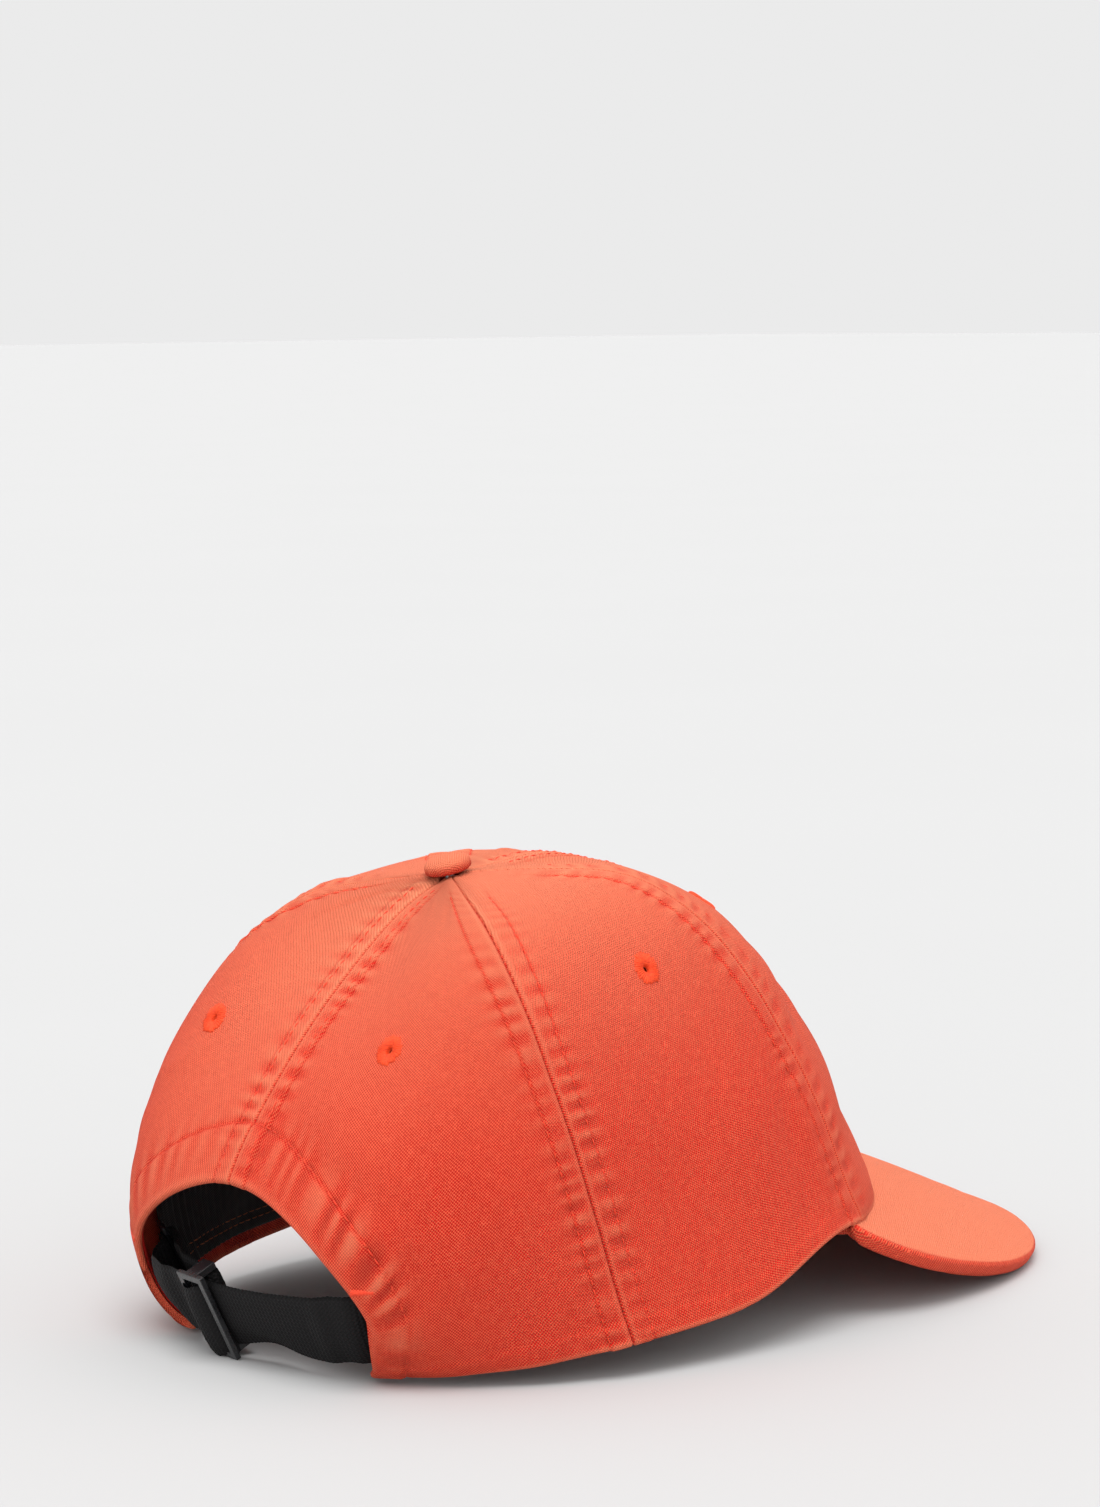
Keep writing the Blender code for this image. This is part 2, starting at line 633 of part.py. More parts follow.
def main():
    for obj in list(bpy.data.objects):
        bpy.data.objects.remove(obj)
    for collection in (CAP, CUTTERS):
        bpy.context.scene.collection.children.link(collection)

    cotton = material("washed_cotton", (0.62, 0.10, 0.055), 0.85)
    thread = material("bright_thread", (0.80, 0.12, 0.03), 0.6)
    tape = material("seam_tape", (0.50, 0.08, 0.045), 0.85)
    lining = material("sweatband_twill", (0.012, 0.010, 0.010), 0.9)
    webbing = material("webbing", (0.010, 0.008, 0.009), 0.75)
    plastic = material("buckle_plastic", (0.008, 0.008, 0.009), 0.35)
    stiffener = material("visor_board_plastic", (0.75, 0.75, 0.72), 0.5)
    steel = material("button_steel", (0.55, 0.55, 0.56), 0.35, 1.0)

    cap = bpy.data.objects.new("cap_frame", None)
    CAP.objects.link(cap)
    cap.rotation_euler = (-math.radians(TILT), 0, 0)
    cap.location = (0, FRAME_SHIFT_Y, FRAME_LIFT)

    for side, hand in ((1, "left"), (-1, "right")):
        panels = {
            "front": make_panel("front_panel_" + hand, FRONT_SEAM, FRONT_SIDE_SEAM, side, cotton, cap),
            "side": make_panel("side_panel_" + hand, FRONT_SIDE_SEAM, REAR_SIDE_SEAM, side, cotton, cap),
            "rear": make_panel("rear_panel_" + hand, REAR_SIDE_SEAM, REAR_SEAM, side, cotton, cap),
        }
        for place_name, (angle, t) in EYELETS.items():
            name = "eyelet_" + place_name + "_" + hand
            make_eyelet(name, panels[place_name], side * angle, t, thread, cap)
        make_tape("seam_tape_front_" + hand, FRONT_SIDE_SEAM, side, tape, cap)
        make_tape("seam_tape_rear_" + hand, REAR_SIDE_SEAM, side, tape, cap)
        make_bartack("bartack_" + hand, side, thread, cap)
    make_tape("seam_tape_front", FRONT_SEAM, 1, tape, cap)
    make_tape("seam_tape_rear", REAR_SEAM, 1, tape, cap)
    make_button(cotton, steel, cap)
    make_visor(cotton, stiffener, cap)
    make_sweatband(lining, cap)
    make_arch_facing(cotton, cap)

    band("strap", strap_route(), STRAP_WIDTH / 2, STRAP_THICKNESS, webbing, cap)
    make_ring(plastic, cap)
    make_ring_tab(webbing, cap)
    make_buckle(plastic, slider_frame("buckle_axis", cap, MIDDLE_BAR_OFFSET))
    make_end_loop(webbing, cap)


main()
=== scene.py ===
"""The looks of a soft six-panel cotton cap with a webbing strap closure.

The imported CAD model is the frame.  Each cloth piece is rebuilt here as a fine
mesh with seams, puckers and soft dents, in the cap's own coordinates: metres,
z = 0 at the rim, the visor along -Y.  CAP_TO_WORLD then tips it back with the
frame.  Angles round the crown are degrees from the middle of the front, and a
height on the crown is t, from 0 at the rim to 1 at the button.
"""

import math

import bmesh
import bpy
import numpy as np
from mathutils import Matrix, Vector


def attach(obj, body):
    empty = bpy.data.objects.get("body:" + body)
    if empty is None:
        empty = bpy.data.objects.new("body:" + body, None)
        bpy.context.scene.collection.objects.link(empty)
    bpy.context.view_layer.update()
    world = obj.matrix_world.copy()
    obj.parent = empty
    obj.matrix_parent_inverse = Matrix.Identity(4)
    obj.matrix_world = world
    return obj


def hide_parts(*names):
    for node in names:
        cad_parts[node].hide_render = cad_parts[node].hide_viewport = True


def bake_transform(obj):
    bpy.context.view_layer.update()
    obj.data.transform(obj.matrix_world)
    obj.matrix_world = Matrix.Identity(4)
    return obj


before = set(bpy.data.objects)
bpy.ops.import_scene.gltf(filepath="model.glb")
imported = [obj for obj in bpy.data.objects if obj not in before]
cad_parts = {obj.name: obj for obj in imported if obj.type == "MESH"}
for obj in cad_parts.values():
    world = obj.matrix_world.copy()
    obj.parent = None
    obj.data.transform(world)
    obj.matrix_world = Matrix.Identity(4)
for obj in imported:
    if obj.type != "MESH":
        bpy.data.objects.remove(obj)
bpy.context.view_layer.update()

# The crown's form, as in the frame
HALF_WIDTH = 0.0846
HALF_LENGTH_FRONT = 0.0916
HALF_LENGTH_REAR = 0.0930
RIM_SQUARENESS = 2.45
CROWN_HEIGHT = 0.1098
BUTTON_SETBACK = 0.0120
REAR_RIM_RISE = 0.0010
SIDE_RIM_RISE = 0.0012
PROFILE_REACH = (0.86, 0.63, 0.52, 0.70, 1.25)
PROFILE_RISE = (0.85, 1.14, 1.26, 1.23, 1.63)
FRONT_FULLNESS = -0.03
SIDE_FULLNESS = -0.065
REAR_FULLNESS = 0.41
BUTTON_HOLE_RADIUS = 0.0036
REAR_SEAM = (180.0, 180.0)
REAR_SIDE_SEAM = (110.0, 124.5)
FRONT_SIDE_SEAM = (61.0, 58.5)
FRONT_SEAM = (0.0, 0.0)
SEAMS = [
    (1, FRONT_SEAM), (1, FRONT_SIDE_SEAM), (-1, FRONT_SIDE_SEAM),
    (1, REAR_SIDE_SEAM), (-1, REAR_SIDE_SEAM), (1, REAR_SEAM),
]

# Rear opening
ARCH_HALF_ANGLE = 25.3
ARCH_SHOULDER = 0.160
ARCH_TOP = 0.4166
ARCH_SQUARENESS = 1.65
ARCH_FOOT_PINCH = 0.16
ARCH_LEG_SHARE = 0.30
MM_PER_DEGREE = 1.65
MM_PER_HEIGHT = 122.0

# Visor
VISOR_REACH = 0.0740
VISOR_HALF_WIDTH = 0.0860
VISOR_HALF_ANGLE = 63.0
VISOR_OUTLINE = 0.795
VISOR_RIM_HEIGHT = 0.0100
VISOR_CURVE = 4.2
VISOR_SLOPE = 0.52
VISOR_SAG = 0.45
VISOR_EDGE_HEIGHT = 0.0046
VISOR_EDGE_RADIUS = 0.0012

# Strap closure
STRAP_WIDTH = 0.0210
STRAP_THICKNESS = 0.0012
STRAP_RADIUS = 0.1080
STRAP_AXIS_Y = -0.0080
STRAP_MIDDLE_HEIGHT = 0.0137
STRAP_LEAN = 18.0
STRAP_RIGHT_END = -0.0520
STRAP_TURN = 0.0490
STRAP_TURN_RADIUS = 0.0019
BUCKLE_REST = 0.0108
MIDDLE_BAR_OFFSET = -0.0033

# Studio
FLOOR_TONE = 0.455
WALL_TONE = 0.83
ROOM_TONE = 1.10
CEILING_TONE = 1.20

# Cloth
CLOTH = 0.0009
HEM_CLOTH = 0.0015
STITCH_OFFSET = 0.0063
STITCH_LENGTH = 0.0027
EYELETS = {"front": (29.0, 0.60), "side": (87.9, 0.62), "rear": (152.5, 0.594)}

TILT = math.radians(8.35)
CAP_TO_WORLD = Matrix.Translation((0, 0.0294, 0.01366)) @ Matrix.Rotation(-TILT, 4, "X")
COARSE = 1

ANGLE_NODES = np.radians([0.0, 45.0, 90.0, 135.0, 180.0])
COSINES = np.linalg.inv(np.cos(np.outer(ANGLE_NODES, np.arange(5))))
REACH_SERIES = COSINES @ np.array(PROFILE_REACH)
RISE_SERIES = COSINES @ np.array(PROFILE_RISE)


# ---------------------------------------------------------------- crown form


def smoothstep(x):
    x = np.clip(x, 0.0, 1.0)
    return x * x * (3 - 2 * x)


def bell(x, width):
    return np.exp(-((x / width) ** 2))


def signed_power(x, power):
    return np.sign(x) * np.abs(x) ** power


def around(series, theta):
    angle = np.radians(theta)
    return sum(c * np.cos(k * angle) for k, c in enumerate(series))


def points_of(x, y, z):
    return np.stack(np.broadcast_arrays(x, y, z), axis=-1)


def visor_height(x, y):
    behind = y + HALF_LENGTH_FRONT
    return VISOR_RIM_HEIGHT - VISOR_CURVE * x * x + VISOR_SLOPE * behind - VISOR_SAG * behind**2


def rim_point(theta):
    c, s = np.cos(np.radians(theta)), np.sin(np.radians(theta))
    length = np.where(c > 0, HALF_LENGTH_FRONT, HALF_LENGTH_REAR)
    x = HALF_WIDTH * signed_power(s, 2 / RIM_SQUARENESS)
    y = -length * signed_power(c, 2 / RIM_SQUARENESS)
    behind_visor = smoothstep((np.abs(theta) - 62) / 30)
    z = visor_height(x, y) * (1 - behind_visor) + REAR_RIM_RISE * np.maximum(-c, 0) ** 2
    z = z + SIDE_RIM_RISE * bell(np.abs(theta) - 113, 20)
    return points_of(x, y, z)


def fullness(theta):
    c = np.cos(np.radians(theta))
    front = (FRONT_FULLNESS - SIDE_FULLNESS) * np.maximum(c, 0) ** 2
    rear = (REAR_FULLNESS - SIDE_FULLNESS) * np.maximum(-c, 0) ** 2
    return SIDE_FULLNESS + front + rear


def crown_point(theta, t):
    rim = rim_point(theta)
    u = np.clip(t, 0.0, 0.99999) * math.pi / 2
    reach = np.cos(u) ** around(REACH_SERIES, theta) * (1 + fullness(theta) * np.sin(2 * u))
    rise = np.sin(u) ** around(RISE_SERIES, theta)
    y = BUTTON_SETBACK + (rim[..., 1] - BUTTON_SETBACK) * reach
    return points_of(rim[..., 0] * reach, y, rim[..., 2] + (CROWN_HEIGHT - rim[..., 2]) * rise)


def unit(v):
    return v / np.maximum(np.linalg.norm(v, axis=-1, keepdims=True), 1e-12)


def crown_normal(theta, t):
    t = np.clip(t, 0.002, 0.9995)
    turn = crown_point(theta + 0.2, t) - crown_point(theta - 0.2, t)
    climb = crown_point(theta, t + 0.0004) - crown_point(theta, t - 0.0004)
    return unit(np.cross(turn, climb))


def height_to_t(theta, height):
    rise = height / (CROWN_HEIGHT - rim_point(theta)[..., 2])
    return np.arcsin(rise ** (1 / around(RISE_SERIES, theta))) * 2 / math.pi


def radius_to_t(theta, radius):
    rim = rim_point(theta)
    full = np.hypot(rim[..., 0], rim[..., 1] - BUTTON_SETBACK)
    return np.arccos((radius / full) ** (1 / around(REACH_SERIES, theta))) * 2 / math.pi


def bunched(theta, s, low, high):
    """Heights that crowd towards the button, where the crown turns over and flattens."""
    power = 1 / around(REACH_SERIES, theta)
    return np.minimum(low + (high - low) * (1 - (1 - s) ** power) / (1 - 0.015 ** power), high)


def seam_angle(seam, t):
    return seam[0] + (seam[1] - seam[0]) * t


def arch_edge(a):
    """The rear opening's edge: a = 0 at the foot of its leg and 1 at its top."""
    leg_t = ARCH_SHOULDER * np.minimum(a / ARCH_LEG_SHARE, 1)
    leg_half = ARCH_HALF_ANGLE * (1 - ARCH_FOOT_PINCH * (1 - leg_t / ARCH_SHOULDER))
    phi = np.clip((a - ARCH_LEG_SHARE) / (1 - ARCH_LEG_SHARE), 0, 1) * math.pi / 2
    top_half = ARCH_HALF_ANGLE * np.maximum(np.cos(phi), 0) ** (2 / ARCH_SQUARENESS)
    top_t = ARCH_SHOULDER + (ARCH_TOP - ARCH_SHOULDER) * np.sin(phi) ** (2 / ARCH_SQUARENESS)
    on_leg = a < ARCH_LEG_SHARE
    return np.where(on_leg, leg_half, top_half), np.where(on_leg, leg_t, top_t)


def panel_foot(first, last, w):
    """Angle and height of a panel's lower edge at the fraction w from its first seam."""
    if last is not REAR_SEAM:
        return first[0] + (last[0] - first[0]) * w, np.zeros_like(w)
    leg = 180.0 - float(arch_edge(np.array(0.0))[0])
    corner = 0.46
    half, t = arch_edge(np.clip((w - corner) / (1 - corner), 0, 1))
    on_rim = w < corner
    return np.where(on_rim, first[0] + (leg - first[0]) * w / corner, 180.0 - half), np.where(on_rim, 0, t)


def panel_place(first, last, w, s, gap):
    """Angle and height of a panel's grid points, with a gap left along both seams."""
    foot_angle, foot_t = panel_foot(first, last, w)
    t = bunched(foot_angle, s, foot_t, radius_to_t(foot_angle, BUTTON_HOLE_RADIUS))
    even = seam_angle(first, t) + (seam_angle(last, t) - seam_angle(first, t)) * w
    even_foot = seam_angle(first, foot_t) + (seam_angle(last, foot_t) - seam_angle(first, foot_t)) * w
    theta = even + (foot_angle - even_foot) * (1 - s) ** 2
    point = crown_point(theta, t)
    radius = np.maximum(np.hypot(point[..., 0], point[..., 1] - BUTTON_SETBACK), BUTTON_HOLE_RADIUS)
    return theta + np.degrees(gap / radius) * (1 - 2 * w), t


# ---------------------------------------------------------------- cloth relief


def swell(points, wavelength, seed, waves=8):
    """A smooth random field, from about -1 to 1, with a rough wavelength in metres."""
    rng = np.random.default_rng(seed)
    directions = unit(rng.normal(size=(waves, 3)))
    lengths = wavelength * rng.uniform(0.75, 1.6, waves)
    phases = rng.uniform(0, 2 * math.pi, waves)
    total = sum(np.sin(points @ d * 2 * math.pi / n + p) for d, n, p in zip(directions, lengths, phases))
    return total * 1.4 / waves


def pucker(along, seed, period=0.0056):
    """Uneven little folds across a stitched seam, from about -1 to 1."""
    drift = swell(points_of(along, 0 * along, 0 * along), 0.021, seed)
    strength = swell(points_of(along, 0 * along, 0 * along), 0.030, seed + 1)
    fold = np.sin(2 * math.pi * (along / period + 0.9 * drift))
    return signed_power(fold, 0.8) * np.clip(0.55 + 0.85 * strength, 0.06, 1.3)


def along_seam(side, seam):
    """A seam's length up from the rim, as a table over t."""
    t = np.linspace(0, 0.999, 200)
    curve = crown_point(side * seam_angle(seam, t), t)
    steps = np.linalg.norm(np.diff(curve, axis=0), axis=1)
    return t, np.concatenate([[0], np.cumsum(steps)])


SEAM_TABLES = [along_seam(side, seam) for side, seam in SEAMS]


def arch_distance(theta, t):
    """Distance from the rear opening's edge and how far round the edge, in metres."""
    edge_half, edge_t = arch_edge(np.linspace(0, 1, 90))
    edge = np.stack([edge_half * MM_PER_DEGREE, edge_t * MM_PER_HEIGHT], axis=1) / 1000
    half = np.abs(180 - np.abs(theta))
    point = np.stack([half * MM_PER_DEGREE, t * MM_PER_HEIGHT], axis=-1) / 1000
    best = np.full(t.shape, 9.0)
    place = np.zeros(t.shape)
    run = 0.0
    for a, b in zip(edge[:-1], edge[1:]):
        length = np.linalg.norm(b - a)
        f = np.clip((point - a) @ (b - a) / length**2, 0, 1)
        distance = np.linalg.norm(point - a - f[..., None] * (b - a), axis=-1)
        closer = distance < best
        best = np.where(closer, distance, best)
        place = np.where(closer, run + f * length, place)
        run += length
    return best, np.where(theta < 0, place, 2 * run - place)


def crease(theta, t, start, end, width, height):
    """A straight soft fold between two places on the crown, in (angle, t)."""
    scale = np.array([MM_PER_DEGREE * 0.85, MM_PER_HEIGHT * 1.1])
    point = np.stack([theta, t], axis=-1) * scale
    a, b = np.array(start) * scale, np.array(end) * scale
    f = np.clip((point - a) @ (b - a) / np.dot(b - a, b - a), 0, 1)
    distance = np.linalg.norm(point - a - f[..., None] * (b - a), axis=-1)
    return height * bell(distance, width) * (0.35 + 0.65 * np.sin(math.pi * np.clip(f, 0.06, 0.94)))


CREASES = [
    # start (angle, t), end, width in mm, height in mm
    ((156, 0.55), (139, 0.42), 3.2, 1.0),
    ((151, 0.50), (136, 0.40), 4.0, -0.9),
    ((139, 0.34), (130, 0.27), 3.0, 0.9),
    ((147, 0.36), (136, 0.30), 3.5, -0.8),
    ((-176, 0.51), (-150, 0.36), 3.4, -1.0),
    ((-172, 0.57), (-150, 0.44), 5.0, 0.7),
    ((-150, 0.34), (-146, 0.16), 4.0, -0.7),
    ((-141, 0.22), (-150, 0.10), 5.0, 0.6),
    ((-70, 0.36), (-76, 0.10), 4.5, -0.8),
    ((-66, 0.30), (-68, 0.08), 3.5, 0.6),
    ((-134, 0.97), (-140, 0.80), 3.2, -0.8),
    ((-152, 0.97), (-150, 0.84), 3.0, 0.5),
    ((150, 0.96), (146, 0.80), 3.6, -0.9),
    ((104, 0.95), (112, 0.80), 4.0, 0.9),
    ((-95, 0.95), (-104, 0.82), 4.0, -0.6),
    ((-30, 0.96), (-20, 0.84), 4.0, -0.8),
    ((30, 0.94), (26, 0.80), 4.0, 0.7),
    ((-8, 0.47), (-46, 0.36), 7.0, -3.4),
    ((-12, 0.58), (-40, 0.50), 6.0, -1.0),
    ((-14, 0.34), (-48, 0.27), 6.0, -1.0),
    ((-18, 0.16), (-54, 0.14), 9.0, -2.0),
    ((-2, 0.74), (-26, 0.68), 4.5, -0.9),
    ((70, 0.40), (100, 0.20), 6.0, 0.9),
]


def soft_relief(theta, t, base):
    """The crown's dents and folds, in metres, without its seams."""
    away_from_rim = smoothstep(t / 0.12)
    total = 0.00075 * swell(base, 0.050, 11) * away_from_rim
    total = total + 0.00022 * swell(base, 0.019, 12)
    near_button = smoothstep((t - 0.84) / 0.10)
    for start, end, width, height in CREASES:
        total = total + crease(theta, t, start, end, width, height) / 1000
    return total * (1 - 0.8 * near_button) - 0.0009 * bell(t - 0.92, 0.06)


def seam_relief(theta, t, base):
    """Relief of the six seams, and their marks: pucker ridges paler, partly rubbed wear and partly painted
    highlight, with painted shade in the valleys, the seam groove and each topstitch dip.
    """
    height = np.zeros(t.shape)
    wear_and_painted_light = np.zeros(t.shape)
    near_button = 1 - smoothstep((t - 0.90) / 0.08)
    for k, ((side, seam), (table_t, table_l)) in enumerate(zip(SEAMS, SEAM_TABLES)):
        middle = side * seam_angle(seam, t)
        d = np.linalg.norm(base - crown_point(middle, t), axis=-1)
        turn = (theta - middle + 180) % 360 - 180
        along = np.interp(t, table_t, table_l)
        folds = np.where(turn > 0, pucker(along, 40 + 4 * k), pucker(along + 0.0021, 42 + 4 * k))
        band = (1 - smoothstep((d - 0.0056) / 0.0016)) * near_button
        reach = smoothstep(d / 0.0022) * bell(d - 0.0052, 0.0040) * near_button
        height = height - 0.00062 * bell(d, 0.00042) + 0.00040 * band
        height = height - 0.00030 * bell(d - STITCH_OFFSET, 0.00050) * near_button
        height = height + 0.00034 * reach * folds
        # Painted shade darkens the seam groove, broken like stitches, and the dip along each topstitch; a
        # painted highlight pales the flank beside the groove.
        sewn = 0.75 + 0.45 * np.sin(2 * math.pi * along / STITCH_LENGTH)
        line = 0.3 * bell(d - 0.0011, 0.0007) - 1.2 * sewn * bell(d, 0.00026)
        line = line - 0.5 * bell(d - STITCH_OFFSET, 0.0005)
        # Pucker ridges are painted paler, partly rubbed wear and partly painted highlight, and their valleys
        # darker as painted shade.
        wear_and_painted_light = wear_and_painted_light + reach * folds * 0.55 + line * near_button
    return height, wear_and_painted_light


def edge_relief(theta, t):
    """Relief of the rim's fold and of the rear opening's faced band, with their marks of wear, painted light
    and painted shade.
    """
    rim = t * MM_PER_HEIGHT / 1000
    d, along = arch_distance(theta, t)
    height = 0.00030 * (1 - smoothstep((rim - 0.0052) / 0.0018))
    wear_and_painted_light = 0.5 * (1 - smoothstep(rim / 0.0016))
    folds = pucker(along, 90, 0.0062)
    reach = smoothstep(d / 0.002) * bell(d - 0.0072, 0.0048)
    height = height + 0.00050 * (1 - smoothstep((d - 0.0086) / 0.0016))
    height = height - 0.00040 * bell(d - 0.0094, 0.0006) + 0.00036 * reach * folds
    # Along the rear opening, pucker ridges are painted paler, partly rubbed wear and partly painted
    # highlight, and their valleys darker as painted shade; the opening's edge is painted paler and the
    # topstitch dip darker as painted shade.
    wear_and_painted_light = wear_and_painted_light + 0.9 * reach * folds + 0.3 * (1 - smoothstep(d / 0.0018)) - 0.5 * bell(d - 0.0094, 0.0006)
    return height, wear_and_painted_light


def cloth_point(theta, t, lift=0.0):
    """Points on the crown's outer cloth, a lift above it, and their marks of wear, painted light and painted
    shade.
    """
    theta, t = np.broadcast_arrays(np.asarray(theta, float), np.asarray(t, float))
    base = crown_point(theta, t)
    normal = crown_normal(theta, t)
    seams, painted_light_and_wear = seam_relief(theta, t, base)
    # Painted light: the cloth is painted paler towards the top, at the front and on the left of the rear,
    # where the light falls on it.
    painted_top_light = 1.05 * smoothstep((t - 0.30) / 0.80)
    painted_top_light = painted_top_light + 0.25 * smoothstep((70 - np.abs(theta)) / 30) + 0.25 * smoothstep((theta - 135) / 30)
    edges, edge_light_and_wear = edge_relief(theta, t)
    height = soft_relief(theta, t, base) + seams + edges + lift
    return base + normal * height[..., None], painted_light_and_wear + edge_light_and_wear + painted_top_light


def lining_point(theta, t, depth):
    """Points a depth under the outer face, following only the crown's larger dents."""
    theta, t = np.broadcast_arrays(np.asarray(theta, float), np.asarray(t, float))
    base = crown_point(theta, t)
    height = soft_relief(theta, t, base) - depth
    return base + crown_normal(theta, t) * np.asarray(height)[..., None]


def flat_coordinates(theta, t, centre):
    """Cloth coordinates in metres: round the panel from its middle, and up from the rim."""
    rows = np.linspace(0, 0.9995, 240)
    middle = crown_point(np.full(240, centre), rows)
    climbed = np.concatenate([[0], np.cumsum(np.linalg.norm(np.diff(middle, axis=0), axis=1))])
    across = np.zeros(t.shape)
    before = crown_point(np.full(t.shape, centre), t)
    for k in range(1, 9):
        here = crown_point(centre + (theta - centre) * k / 8, t)
        across = across + np.linalg.norm(here - before, axis=-1)
        before = here
    return np.sign(theta - centre) * across, np.interp(t, rows, climbed)


# ---------------------------------------------------------------- meshes


def finish_mesh(name, vertices, faces, look, body, in_cap=True, flat=None, wear_and_painted_light=None):
    """A mesh object from arrays, with the cloth's flat coordinates as its UV map."""
    mesh = bpy.data.meshes.new(name)
    mesh.from_pydata(np.asarray(vertices, float).reshape(-1, 3).tolist(), [], [list(f) for f in faces])
    if flat is not None:
        corners = np.empty(len(mesh.loops), dtype=np.int32)
        mesh.loops.foreach_get("vertex_index", corners)
        layer = mesh.uv_layers.new(name="cloth")
        layer.uv.foreach_set("vector", np.asarray(flat, float).reshape(-1, 2)[corners].ravel())
    if wear_and_painted_light is not None:
        layer = mesh.attributes.new("wear_and_painted_light", "FLOAT", "POINT")
        layer.data.foreach_set("value", np.asarray(wear_and_painted_light, float).ravel())
    if in_cap:
        mesh.transform(CAP_TO_WORLD)
    mesh.validate()
    mesh.shade_smooth()
    obj = bpy.data.objects.new(name, mesh)
    bpy.context.scene.collection.objects.link(obj)
    obj.data.materials.append(look)
    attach(obj, body)
    return obj


def loop_shell_faces(columns, around_count):
    """Faces of a shell whose every column is a closed loop of points, with both ends closed."""
    i = np.arange(columns - 1)[:, None]
    j = np.arange(around_count)[None, :]
    following = (j + 1) % around_count
    a, b = i * around_count + j, (i + 1) * around_count + j
    c, d = (i + 1) * around_count + following, i * around_count + following
    return np.stack([a, b, c, d], axis=-1).reshape(-1, 4)


def end_faces(start, rows, roll, flip):
    """Quads that close one end of a shell, between its outer and inner rows."""
    count = 2 * rows + roll
    faces = []
    for k in range(rows - 1):
        inner = 2 * rows - 1 - k
        faces.append([start + k, start + k + 1, start + inner - 1, start + inner])
    lip = [start + 0, start + 2 * rows - 1] + [start + m for m in range(2 * rows, count)]
    faces.append(lip)
    return [f[::-1] for f in faces] if flip else faces


def face_outwards(obj, weld=0.0):
    """Turn every face outwards, after merging vertices closer than the weld distance."""
    mesh = bmesh.new()
    mesh.from_mesh(obj.data)
    if weld:
        bmesh.ops.remove_doubles(mesh, verts=mesh.verts, dist=weld)
    bmesh.ops.recalc_face_normals(mesh, faces=mesh.faces)
    mesh.to_mesh(obj.data)
    mesh.free()


def cloth_shell(name, outer, inner, look, body, flat, wear_and_painted_light=None, roll=3):
    """A closed cloth from outer and inner grids, with its lower edge rolled over."""
    columns, rows = outer.shape[:2]
    low_out, low_in = outer[:, 0], inner[:, 0]
    middle, half = (low_out + low_in) / 2, (low_out - low_in) / 2
    outward = outer[:, 0] - outer[:, 1]
    down = unit(np.cross(np.gradient(low_out, axis=0), half))
    down = down * np.sign(np.sum(down * outward, axis=1, keepdims=True))
    depth = np.linalg.norm(half, axis=-1, keepdims=True)
    rolled, rolled_flat = [], []
    flat_run = np.gradient(flat[:, 0], axis=0)
    flat_down = unit(np.stack([-flat_run[:, 1], flat_run[:, 0]], axis=1))
    flat_outward = flat[:, 0] - flat[:, 1]
    flat_down = flat_down * np.sign(np.sum(flat_down * flat_outward, axis=1, keepdims=True))
    for k in range(1, roll + 1):
        a = math.pi * k / (roll + 1)
        rolled.append(middle - half * math.cos(a) + down * depth * math.sin(a))
        rolled_flat.append(flat[:, 0] + flat_down * depth * (math.pi - a))
    points = np.concatenate([outer, inner[:, ::-1], np.stack(rolled, axis=1)], axis=1)
    count = points.shape[1]
    faces = loop_shell_faces(columns, count)[:, ::-1].tolist()
    faces += end_faces(0, rows, roll, False) + end_faces((columns - 1) * count, rows, roll, True)

    turned = flat + (flat_down * depth * math.pi)[:, None, :]
    flat = np.concatenate([flat, turned[:, ::-1], np.stack(rolled_flat, axis=1)], axis=1)
    if wear_and_painted_light is not None:
        wear_and_painted_light = np.concatenate([wear_and_painted_light, wear_and_painted_light[:, ::-1], np.repeat(wear_and_painted_light[:, :1], roll, axis=1)], axis=1)
    obj = finish_mesh(name, points, faces, look, body, flat=flat, wear_and_painted_light=wear_and_painted_light)
    face_outwards(obj)
    return obj


def stitch_mesh(name, starts, ends, ups, radius, look, body, in_cap=True):
    """Short threads from starts to ends, each sinking at both ends, as one mesh."""
    sides, rings = 6, 5
    along = ends - starts
    across = unit(np.cross(along, ups))
    ups = unit(np.cross(across, along))
    vertices = []
    for k in range(rings):
        f = k / (rings - 1)
        swollen = math.sin(math.pi * (0.10 + 0.80 * f)) ** 0.6
        centre = starts + along * f - ups * radius * 1.5 * (1 - math.sin(math.pi * f)) + ups * radius * 0.5
        for m in range(sides):
            a = 2 * math.pi * m / sides
            vertices.append(centre + (across * math.cos(a) + ups * math.sin(a)) * radius * swollen)
    vertices = np.stack(vertices, axis=1)
    count = rings * sides
    faces = []
    for k in range(rings - 1):
        for m in range(sides):
            n = (m + 1) % sides
            faces.append([k * sides + m, (k + 1) * sides + m, (k + 1) * sides + n, k * sides + n])
    faces.append(list(range(sides)))
    faces.append(list(range(count - sides, count))[::-1])
    everywhere = [[index + count * which for index in face] for which in range(len(starts)) for face in faces]
    return finish_mesh(name, vertices, everywhere, look, body, in_cap=in_cap)


def run_length(path):
    """The distance travelled along a path at each of its points."""
    return np.concatenate([[0], np.cumsum(np.linalg.norm(np.diff(path, axis=0), axis=1))])


def stitches_along(path, ups, length=STITCH_LENGTH, share=0.80):
    """Start and end points of stitches spaced evenly along a path, and their up directions."""
    run = run_length(path)
    marks = np.arange(length * 0.3, run[-1] - length, length)

    def at(where, values):
        return np.stack([np.interp(where, run, values[:, k]) for k in range(3)], axis=1)

    return at(marks, path), at(marks + length * share, path), at(marks + length * 0.4, ups)


def sew(name, lines, radius, look):
    """The stitches along several lines, each a (path, up directions) pair, as one mesh."""
    parts = zip(*(stitches_along(path, ups) for path, ups in lines))
    starts, ends, ups = (np.concatenate(part) for part in parts)
    return stitch_mesh(name, starts, ends, ups, radius, look, "cap")


# ---------------------------------------------------------------- materials


